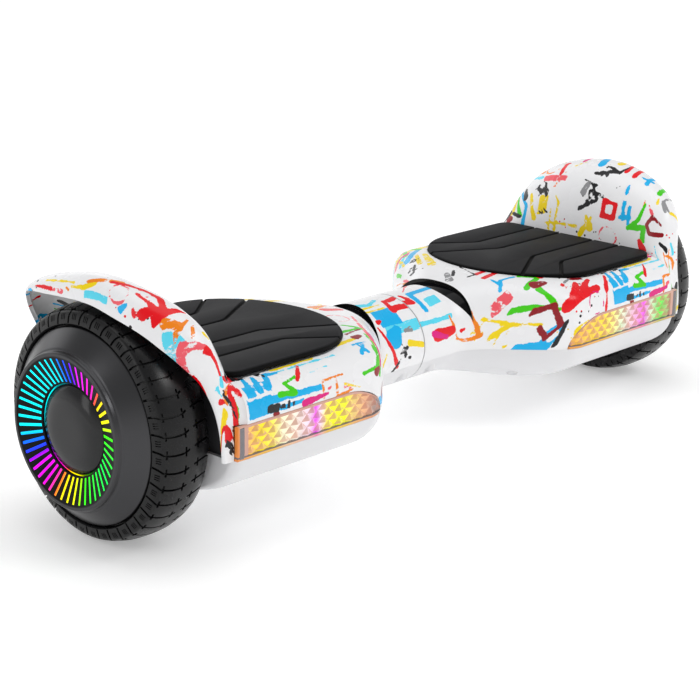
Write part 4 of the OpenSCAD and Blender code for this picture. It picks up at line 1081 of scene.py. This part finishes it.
def smoked_window(side):
    """The dark pane under the crescent window, curved like the shell."""
    ys = np.linspace(-PANE_HALF, PANE_HALF, 81)
    rows = []
    for y in ys:
        neck, deck = window_edges(y)
        us = np.linspace(neck + PANE_GAP, deck - PANE_GAP, 9)
        rows.append([[u, y, float(top_at(u, y))] for u in us])
    outer = np.array(rows)
    outer[..., 2] -= PANE_DROP
    inner = outer - (0, 0, PANE_T)
    return smooth(sheet(f"{side}_smoked_window", outer, inner, side), 40)


# ---------------------------------------------------------------- materials
class Look:
    """A Principled material and short ways to build its node graph. Scales are per metre."""

    def __init__(self, name, colour, roughness, **sockets):
        self.mat = bpy.data.materials.new(name)
        self.mat.use_nodes = True
        self.tree = self.mat.node_tree
        self.shader = self.tree.nodes["Principled BSDF"]
        self.set("Base Color", (*colour, 1))
        self.set("Roughness", roughness)
        for socket, value in sockets.items():
            self.set(socket.replace("_", " ").title().replace("Ior", "IOR"), value)

    def put(self, socket, value):
        if isinstance(value, bpy.types.NodeSocket):
            self.tree.links.new(value, socket)
        else:
            socket.default_value = value

    def set(self, name, value):
        self.put(self.shader.inputs[name], value)

    def node(self, kind, inputs=(), output=0, **settings):
        made = self.tree.nodes.new("ShaderNode" + kind)
        for key, value in settings.items():
            setattr(made, key, value)
        for key, value in dict(inputs).items():
            self.put(made.inputs[key], value)
        return made.outputs[output]

    def math(self, operation, *values):
        return self.node("Math", enumerate(values), operation=operation)

    def distance(self, first, second):
        """Length of a vector from two of its parts."""
        squares = [self.math("MULTIPLY", part, part) for part in (first, second)]
        return self.math("SQRT", self.math("ADD", *squares))

    def vector(self, operation, *values, output=0):
        return self.node("VectorMath", enumerate(values), output, operation=operation)

    def place(self):
        return self.node("TexCoord", output=3)

    def noise(self, scale, detail, rough=0.5, stretch=None):
        where = self.place()
        if stretch:
            where = self.vector("MULTIPLY", where, stretch)
        sockets = {"Vector": where, "Scale": scale, "Detail": detail, "Roughness": rough}
        return self.node("TexNoise", sockets)

    def wobble(self, scale, detail, reach):
        """Noise that swings evenly about nought."""
        return self.math("MULTIPLY", self.math("SUBTRACT", self.noise(scale, detail), 0.5), reach)

    def cells(self, scale):
        return self.node("TexVoronoi", {"Vector": self.place(), "Scale": scale})

    def ramp(self, value, stops, interpolation="LINEAR"):
        made = self.tree.nodes.new("ShaderNodeValToRGB")
        made.color_ramp.interpolation = interpolation
        made.color_ramp.elements.remove(made.color_ramp.elements[1])
        for i, (place, colour) in enumerate(stops):
            stop = made.color_ramp.elements[0] if i == 0 else made.color_ramp.elements.new(place)
            stop.position = place
            stop.color = (*colour, 1) if len(colour) == 3 else colour
        self.put(made.inputs[0], value)
        return made.outputs[0]

    def range(self, value, low, high, to_low=0.0, to_high=1.0):
        return self.node("MapRange", {0: value, 1: low, 2: high, 3: to_low, 4: to_high})

    def mix(self, share, first, second, blend="MIX"):
        made = self.tree.nodes.new("ShaderNodeMix")
        made.data_type = "RGBA"
        made.blend_type = blend
        self.put(made.inputs[0], share)
        for socket, value in ((made.inputs[6], first), (made.inputs[7], second)):
            self.put(socket, (*value, 1) if isinstance(value, tuple) and len(value) == 3 else value)
        return made.outputs[2]

    def split(self, vector):
        return self.node("SeparateXYZ", {"Vector": vector}).node.outputs

    def bump(self, height, strength, distance):
        sockets = {"Height": height, "Strength": strength, "Distance": distance * MM}
        self.set("Normal", self.node("Bump", sockets))
        return self

    def vary(self, colour, spread, scale):
        """A colour that drifts a little lighter and darker over the surface."""
        dark = tuple(c * (1 - spread) for c in colour)
        light = tuple(min(c * (1 + spread), 1) for c in colour)
        self.set("Base Color", self.mix(self.noise(scale, 3), dark, light))
        return self

    def worn(self, low, high, scale):
        """A roughness that drifts between low and high."""
        self.set("Roughness", self.range(self.noise(scale, 4), 0.3, 0.7, low, high))
        return self


def moulded(name, colour, roughness, grain=0.15, spread=0.06, **sockets):
    """Injection-moulded plastic: a fine pebbled grain and slightly uneven gloss."""
    look = Look(name, colour, roughness, **sockets)
    look.vary(colour, spread, 18)
    look.worn(roughness - 0.02, roughness + 0.03, 45)
    return look.bump(look.noise(2600, 2), grain, 0.03)


def metal(name, colour, roughness, stretch=(1, 1, 1), scale=900):
    look = Look(name, colour, roughness, Metallic=1.0)
    look.vary(colour, 0.12, 60)
    look.worn(roughness - 0.08, roughness + 0.1, 140)
    return look.bump(look.noise(scale, 3, stretch=stretch), 0.12, 0.02)


def rubber(name, colour, roughness, grain, size, wear=0.1):
    look = Look(name, colour, roughness, Specular_Ior_Level=0.35)
    look.vary(colour, 0.18, 25)
    look.worn(roughness - wear * 0.6, roughness + wear, 60)
    pebbles = look.math("MULTIPLY", look.cells(size * 0.6), 0.5)
    return look.bump(look.math("ADD", look.noise(size, 3), pebbles), grain, 0.05)


WHITE = (0.81, 0.81, 0.825)
HUES = {"cyan": (0.0, 0.42, 0.8), "aqua": (0.1, 0.66, 0.84), "red": (0.76, 0.0, 0.006),
        "wine": (0.26, 0.002, 0.008), "rose": (0.84, 0.1, 0.13), "pink": (0.7, 0.002, 0.2),
        "green": (0.05, 0.58, 0.0), "yellow": (0.86, 0.64, 0.0), "orange": (0.84, 0.22, 0.004),
        "black": (0.01, 0.01, 0.012), "grey": (0.26, 0.26, 0.27), "white": WHITE}
DRY_INKS = {"rose": 0.38, "yellow": 0.36, "orange": 0.36, "grey": 0.38, "wine": 0.3, "aqua": 0.3}
SPREAD = {"black": 0.35, "white": 0.25}
# Degrees from the top of the wheel to where its rainbow starts
GLOW_START = 59


def droplets(look, colour):
    """Small specks of ink, in patches."""
    near = look.cells(170)
    hue = look.ramp(look.noise(9, 0), [(0, HUES["black"]), (0.42, HUES["red"]), (0.5, HUES["black"]),
                                       (0.56, HUES["yellow"]), (0.64, HUES["cyan"])], "CONSTANT")
    size = look.math("MULTIPLY", look.range(look.noise(14, 1), 0.54, 0.7), 0.22)
    return look.mix(look.math("LESS_THAN", near, size), colour, hue)


def printed_shell():
    """White plastic with inks whose edges come from the distances kept on the mesh."""
    look = Look("printed_shell", WHITE, 0.25, Specular_Ior_Level=0.28,
                Coat_Weight=0.06, Coat_Roughness=0.05)
    colour = look.mix(look.noise(30, 2), (0.8, 0.8, 0.815), (0.83, 0.83, 0.84))
    colour = droplets(look, colour)
    edge = look.math("ADD", look.wobble(110, 3, 3.2), look.wobble(700, 2, 1.2))
    streaks = look.noise(190, 4, stretch=(0.35, 1, 1), rough=0.65)
    for k in range(0, len(INKS), 3):
        parts = look.split(look.node("Attribute", output=1, attribute_name=f"print_{k // 3}"))
        for ink, field in zip(INKS[k:k + 3], parts):
            reach = SPREAD.get(ink, 0)
            mark = look.range(look.math("ADD", field, edge), reach + 0.14, reach - 0.14)
            if ink in DRY_INKS:
                dry = look.range(streaks, DRY_INKS[ink], DRY_INKS[ink] + 0.05)
                mark = look.math("MULTIPLY", mark, dry)
            colour = look.mix(mark, colour, HUES[ink])
    depth, dark, _ = look.split(look.node("Attribute", output=1, attribute_name="skin"))
    wall = look.mix(dark, WHITE, (0.003, 0.003, 0.003))
    look.set("Base Color", look.mix(look.range(depth, 0.02, 0.05), colour, wall))
    look.worn(0.2, 0.3, 50)
    return look.bump(look.noise(700, 2), 0.05, 0.03)


def wheel_glow():
    """Rainbow light whose hue follows the angle round the wheel, in two matching halves."""
    look = Look("wheel_light", (0.004, 0.004, 0.004), 0.5, Specular_Ior_Level=0.1, Emission_Strength=1.5)
    _, back, z = look.split(look.place())
    up = look.math("SUBTRACT", z, AXLE_Z * MM)
    start = math.radians(GLOW_START)
    along = look.math("ADD", look.math("MULTIPLY", up, math.cos(start)),
                      look.math("MULTIPLY", back, math.sin(start)))
    cosine = look.math("DIVIDE", along, look.distance(up, back))
    angle = look.math("DIVIDE", look.math("ARCCOSINE", cosine), math.pi)
    glow = look.ramp(angle, [(0, (0, 0.9, 0.9)), (0.23, (0, 0.85, 1)), (0.29, (0, 0.15, 1)),
                             (0.36, (0.02, 0, 1)), (0.41, (0.8, 0, 1)), (0.53, (1, 0, 0.6)),
                             (0.58, (1, 0.08, 0.02)), (0.62, (1, 0.75, 0)), (0.71, (0.95, 1, 0)),
                             (0.78, (0.05, 1, 0)), (1, (0, 1, 0.1))])
    look.set("Emission Color", glow)
    return look


LENS_RUNS = {
    "right": [(0, (0.85, 0.34, 0.12)), (0.08, (0.95, 0.55, 0.12)), (0.16, (0.98, 0.75, 0.0)),
              (0.24, (0.98, 0.85, 0.1)), (0.3, (0.95, 0.93, 0.62)), (0.4, (0.93, 0.82, 0.74)),
              (0.48, (0.92, 0.66, 0.85)), (0.52, (0.95, 0.06, 0.95)), (0.55, (0.93, 0.7, 0.9)),
              (0.59, (0.95, 0.85, 0.1)), (0.63, (0.95, 0.98, 0.0)), (0.72, (0.95, 0.98, 0.0)),
              (0.78, (0.93, 0.68, 0.2)), (0.86, (0.8, 0.42, 0.22)), (0.93, (0.4, 0.27, 0.23)),
              (1, (0.3, 0.27, 0.27))],
    "left": [(0, (0.9, 0.42, 0.05)), (0.12, (0.95, 0.6, 0.05)), (0.3, (0.95, 0.72, 0.04)),
             (0.38, (0.93, 0.88, 0.2)), (0.46, (0.75, 0.93, 0.6)), (0.56, (0.93, 0.6, 0.75)),
             (0.68, (0.9, 0.1, 0.8)), (0.75, (0.7, 0.85, 0.6)), (0.84, (0.08, 0.85, 0.05)),
             (0.92, (0.45, 0.6, 0.25)), (1, (0.3, 0.34, 0.22))]}
END_LIGHT = {"right": (0.85, 0.27, 0.05), "left": (0.3, 0.33, 0.24)}


def light_run(look, side):
    """The colour that runs along a headlight, from the end that is outboard on the right half."""
    start = -LENS_OUT * MM if side == "right" else LENS_IN * MM
    along = look.split(look.place())[0]
    share = look.math("DIVIDE", look.math("SUBTRACT", along, start), (LENS_OUT - LENS_IN) * MM)
    return look.ramp(share, LENS_RUNS[side])


def lens_glow(side):
    """Lit plastic: its colour runs along the strip, and as painted shade the facets that face upward
    glow a darker salmon.
    """
    look = Look(f"{side}_lens", (0.9, 0.8, 0.65), 0.14, Specular_Ior_Level=0.5, Emission_Strength=0.62)
    run = light_run(look, side)
    # Painted light and shade on the facets: each facet's colour follows the way it faces, so upward
    # facets glow a darker salmon and the rest keep the bright run
    up = look.vector("DOT_PRODUCT", look.node("NewGeometry", output=3), (-0.35, 0.0, 0.94), output=1)
    pitch = (FACET_U / 2 * MM, 1, FACET_Z / 2 * MM)
    lattice = look.vector("FLOOR", look.vector("DIVIDE", look.place(), pitch))
    chance = look.node("TexWhiteNoise", {"Vector": lattice}, 0, noise_dimensions="3D")
    # Painted shade mask: high where a facet faces upward, then mixed towards darker salmon
    facet_shade = look.range(look.math("ADD", up, look.math("MULTIPLY", chance, 0.45)), 0.2, 0.62, 0.0, 0.92)
    salmon = look.mix(look.noise(60, 1), (0.42, 0.17, 0.13), (0.62, 0.29, 0.19))
    glow = look.mix(facet_shade, run, look.mix(0.22, salmon, run))
    glow = look.mix(1.0, glow, look.range(chance, 0.0, 1.0, 0.85, 1.1), "MULTIPLY")
    look.set("Base Color", look.mix(0.5, glow, (0.02, 0.015, 0.015)))
    look.set("Emission Color", glow)
    return look


def rim_look(side):
    """Clear plastic round the lit facets: salmon above, a grey line and the light's colour below."""
    look = Look(f"{side}_rim", (0.8, 0.45, 0.3), 0.12, Specular_Ior_Level=0.5, Emission_Strength=0.3)
    x, _, z = look.split(look.place())
    sway = look.wobble(90, 1, 0.0006)
    height = look.math("SUBTRACT", look.math("ADD", z, sway), (LENS_LOW + RIM_FOOT + RIM_W) * MM)
    line = look.range(look.math("ABSOLUTE", height), 0.0005, 0.0008)
    salmon = look.mix(look.noise(45, 2), (0.62, 0.3, 0.22), (0.75, 0.45, 0.36))
    below = look.mix(0.6, light_run(look, side), (0.85, 0.3, 0.08))
    colour = look.mix(look.range(height, -0.0002, 0.0002), below, salmon)
    outer = look.range(look.math("ABSOLUTE", x), END_LIGHT_U * MM, (END_LIGHT_U + 0.4) * MM)
    colour = look.mix(outer, colour, END_LIGHT[side])
    colour = look.mix(line, (0.16, 0.13, 0.13), colour)
    look.set("Base Color", look.mix(0.4, colour, (0.02, 0.02, 0.02)))
    look.set("Emission Color", colour)
    return look


def hub_plastic():
    """Satin black metallic paint on the flange; plain dull black on the dish inside the bead."""
    look = moulded("hub_plastic", (0.016, 0.016, 0.018), 0.3, 0.05, Specular_Ior_Level=0.12)
    _, y, z = look.split(look.place())
    up = look.math("SUBTRACT", z, AXLE_Z * MM)
    flange = look.range(look.distance(up, y), BEAD_R * MM, (BEAD_R + 1) * MM)
    drift = look.mix(look.noise(18, 3), (0.058, 0.058, 0.061), (0.062, 0.062, 0.065))
    look.set("Base Color", look.mix(flange, (0.004, 0.004, 0.004), drift))
    look.set("Metallic", flange)
    look.set("Roughness", look.range(flange, 0.0, 1.0, 0.5, 0.3))
    return look


def tyre_rubber():
    look = rubber("tyre_rubber", (0.005, 0.005, 0.0055), 0.26, 0.14, 1300)
    look.set("Specular IOR Level", 0.26)
    return look


def pad_rubber():
    """Fine-grained rubber, with painted shade: near-black in the grooves and down the side."""
    look = rubber("pad_rubber", (0.03, 0.03, 0.032), 0.6, 0.16, 1500, wear=0.02)
    look.set("Specular IOR Level", 0.09)
    drift = look.mix(look.noise(40, 3), (0.013, 0.013, 0.0145), (0.0155, 0.0155, 0.017))
    # Painted shade: faces lying more than about half a millimetre below the pad's top, in the grooves
    # and down the sides, are painted near-black
    low = look.range(look.split(look.place())[2], (PAD_TOP - 0.9) * MM, (PAD_TOP - 0.35) * MM)
    look.set("Base Color", look.mix(low, (0.001, 0.001, 0.001), drift))
    return look


def smoked_plastic():
    look = Look("smoked_window", (0.002, 0.002, 0.003), 0.12, Specular_Ior_Level=0.12)
    return look.worn(0.04, 0.1, 40)


def cap_plastic():
    return moulded("cap_plastic", (0.008, 0.008, 0.009), 0.17, 0.03, 0.02, Specular_Ior_Level=0.36)


def make_looks():
    return {
        "printed_shell": printed_shell(),
        "white_shell": moulded("white_shell", (0.7, 0.7, 0.715), 0.3, 0.08, 0.02),
        "pad_rubber": pad_rubber(),
        "tyre_rubber": tyre_rubber(),
        "hub_plastic": hub_plastic(),
        "cap_plastic": cap_plastic(),
        "wheel_light_diffuser": wheel_glow(),
        "left_lens": lens_glow("left"),
        "right_lens": lens_glow("right"),
        "left_rim": rim_look("left"),
        "right_rim": rim_look("right"),
        "headlight_reflector": metal("headlight_reflector", (0.2, 0.19, 0.2), 0.2),
        "led_chips": moulded("led_chips", (0.9, 0.75, 0.25), 0.4),
        "smoked_window": smoked_plastic(),
        "dark_screw": metal("dark_screw", (0.25, 0.25, 0.27), 0.35),
        "steel": metal("steel", (0.58, 0.58, 0.6), 0.28, (0.1, 1, 1)),
        "bearing_steel": metal("bearing_steel", (0.68, 0.68, 0.7), 0.18),
        "cast_aluminium": metal("cast_aluminium", (0.52, 0.53, 0.55), 0.45, scale=500),
        "dark_chassis": moulded("dark_chassis", (0.05, 0.05, 0.055), 0.45, 0.3),
        "motor_casing": metal("motor_casing", (0.16, 0.16, 0.17), 0.4),
        "magnet_plating": metal("magnet_plating", (0.62, 0.62, 0.64), 0.2),
        "stator_windings": metal("stator_windings", (0.6, 0.25, 0.08), 0.35, (1, 1, 1), 1500),
        "circuit_board": moulded("circuit_board", (0.01, 0.13, 0.05), 0.35),
        "battery_wrap": moulded("battery_wrap", (0.02, 0.08, 0.38), 0.3),
        "strap_webbing": rubber("strap_webbing", (0.02, 0.02, 0.02), 0.8, 0.5, 1800),
        "nylon": moulded("nylon", (0.75, 0.72, 0.62), 0.4),
        "wire_insulation": rubber("wire_insulation", (0.45, 0.02, 0.02), 0.45, 0.1, 900),
        "black_plastic": moulded("black_plastic", (0.018, 0.018, 0.02), 0.35),
        "button_metal": metal("button_metal", (0.6, 0.6, 0.62), 0.25),
        "cap_rubber": rubber("cap_rubber", (0.03, 0.03, 0.032), 0.6, 0.2, 1400)}


# ---------------------------------------------------------------- assembly
def add(obj, look, body, replaces=()):
    obj.data.materials.clear()
    obj.data.materials.append(LOOKS[look].mat)
    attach(obj, body)
    if replaces:
        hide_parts(*replaces)
    return obj


def build_half(side):
    half, wheel = f"{side}_half", f"{side}_wheel"
    add(top_shell(side), "printed_shell", half, replaces=[f"{side}_top_shell"])
    add(bottom_shell(side), "white_shell", half, replaces=[f"{side}_bottom_shell"])
    add(lens_facets(side), f"{side}_lens", half, [f"{side}_headlight_lens"])
    add(lens_rim(side), f"{side}_rim", half)
    add(lens_strip(side), "headlight_reflector", half)
    add(smoked_window(side), "smoked_window", half, replaces=[f"{side}_indicator_window"])
    add(foot_pad(side), "pad_rubber", f"{side}_pad", replaces=[f"{side}_foot_pad"])
    add(tyre(side), "tyre_rubber", wheel, replaces=[f"{side}_tyre"])
    add(hub_cover(side), "hub_plastic", wheel, replaces=[f"{side}_hub_cover"])
    add(light_pipes(side), "wheel_light_diffuser", wheel, replaces=[f"{side}_wheel_light_ring"])
    add(centre_cap(side), "cap_plastic", wheel, replaces=[f"{side}_centre_cap"])


def dress_cad_nodes():
    """Gives every node that stays on show the look of its own material slot."""
    for part in frame["record"]["subparts"]:
        if part["material_slot"] in LOOKS:
            node = frame["nodes"][part["node"]]
            node.data.materials.clear()
            node.data.materials.append(LOOKS[part["material_slot"]].mat)


# ---------------------------------------------------------------- camera, floor and light
CAMERA_AT = (-1.0505, -0.9451, 0.5012)
CAMERA_YAW, CAMERA_PITCH, CAMERA_ROLL = 47.05, 16.77, 0.89
SENSOR_W, LENS_LENGTH = 36.0, 97.11
LENS_SHIFT = (-0.0096, -0.0059)
# Height of the horizon's white band in the sky and of the dimmer studio above it, then their strengths
SKY_RISE = (0.12, 0.4, 1.0, 0.5)
# The floor glows brighter from FLOOR_NEAR to FLOOR_FAR metres out, so that it ends as white as the sky
FLOOR_NEAR, FLOOR_FAR, FLOOR_HALF = 0.6, 1.5, 9000
# Each lamp's place and target in metres, its two sides and its power in watts
LAMPS = {"overhead": ((0.1, 0.1, 1.6), (0, 0, 0.1), (1.6, 1.2), 8),
         "front_box": ((0.5, -1.15, 1.25), (-0.1, 0, 0.1), (0.7, 0.5), 6),
         "side_box": ((-1.7, 0.3, 0.9), (-0.2, 0, 0.1), (0.5, 1.0), 3),
         "back_box": ((0.2, 1.9, 0.95), (0, 0, 0.1), (2.4, 0.8), 6)}


def add_camera():
    yaw, pitch, roll = [math.radians(a) for a in (CAMERA_YAW, CAMERA_PITCH, CAMERA_ROLL)]
    ahead = Vector((math.sin(yaw) * math.cos(pitch), math.cos(yaw) * math.cos(pitch), -math.sin(pitch)))
    level = Vector((math.cos(yaw), -math.sin(yaw), 0))
    above = level.cross(ahead)
    right = level * math.cos(roll) + above * math.sin(roll)
    up = above * math.cos(roll) - level * math.sin(roll)
    data = bpy.data.cameras.new("camera")
    data.sensor_width, data.lens = SENSOR_W, LENS_LENGTH
    data.shift_x, data.shift_y = LENS_SHIFT
    camera = bpy.data.objects.new("camera", data)
    bpy.context.scene.collection.objects.link(camera)
    axes = Matrix((right, up, -ahead)).transposed().to_4x4()
    camera.matrix_world = Matrix.Translation(CAMERA_AT) @ axes
    bpy.context.scene.camera = camera


def area_light(name, at, target, size, power):
    data = bpy.data.lights.new(name, "AREA")
    data.shape = "RECTANGLE"
    data.size, data.size_y = size
    data.energy = power
    light = bpy.data.objects.new(name, data)
    light.location = at
    light.rotation_euler = (Vector(target) - Vector(at)).to_track_quat("-Z", "Y").to_euler()
    bpy.context.scene.collection.objects.link(light)


def add_floor():
    corners = [(x * FLOOR_HALF, y * FLOOR_HALF, 0) for x, y in ((-1, -1), (1, -1), (1, 1), (-1, 1))]
    floor = mesh_object("floor", corners, [[0, 1, 2, 3]])
    look = Look("floor", (0.9, 0.9, 0.9), 0.9, Specular_Ior_Level=0.1, Emission_Strength=0.56)
    look.vary((0.9, 0.9, 0.9), 0.01, 2)
    x, y, _ = look.split(look.place())
    far = look.range(look.distance(x, y), FLOOR_NEAR, FLOOR_FAR)
    look.set("Emission Color", look.mix(far, (0.53, 0.53, 0.53), (1, 1, 1)))
    floor.data.materials.append(look.mat)


def add_sky():
    """A white sky, dimmer overhead than at the horizon."""
    world = bpy.data.worlds.new("studio")
    world.use_nodes = True
    sky = world.node_tree
    back = sky.nodes["Background"]
    back.inputs[0].default_value = (1, 1, 1, 1)
    place, parts, level = [sky.nodes.new("ShaderNode" + kind)
                           for kind in ("TexCoord", "SeparateXYZ", "MapRange")]
    for socket, value in zip(level.inputs[1:], SKY_RISE):
        socket.default_value = value
    for source, target in ((place.outputs["Generated"], parts.inputs[0]),
                           (parts.outputs[2], level.inputs[0]), (level.outputs[0], back.inputs[1])):
        sky.links.new(source, target)
    bpy.context.scene.world = world


def add_studio():
    add_floor()
    add_sky()
    for name, lamp in LAMPS.items():
        area_light(name, *lamp)
    bpy.context.scene.view_settings.view_transform = "Standard"


LOOKS = make_looks()
add_camera()
add_studio()
dress_cad_nodes()
for SIDE in SIDES:
    build_half(SIDE)
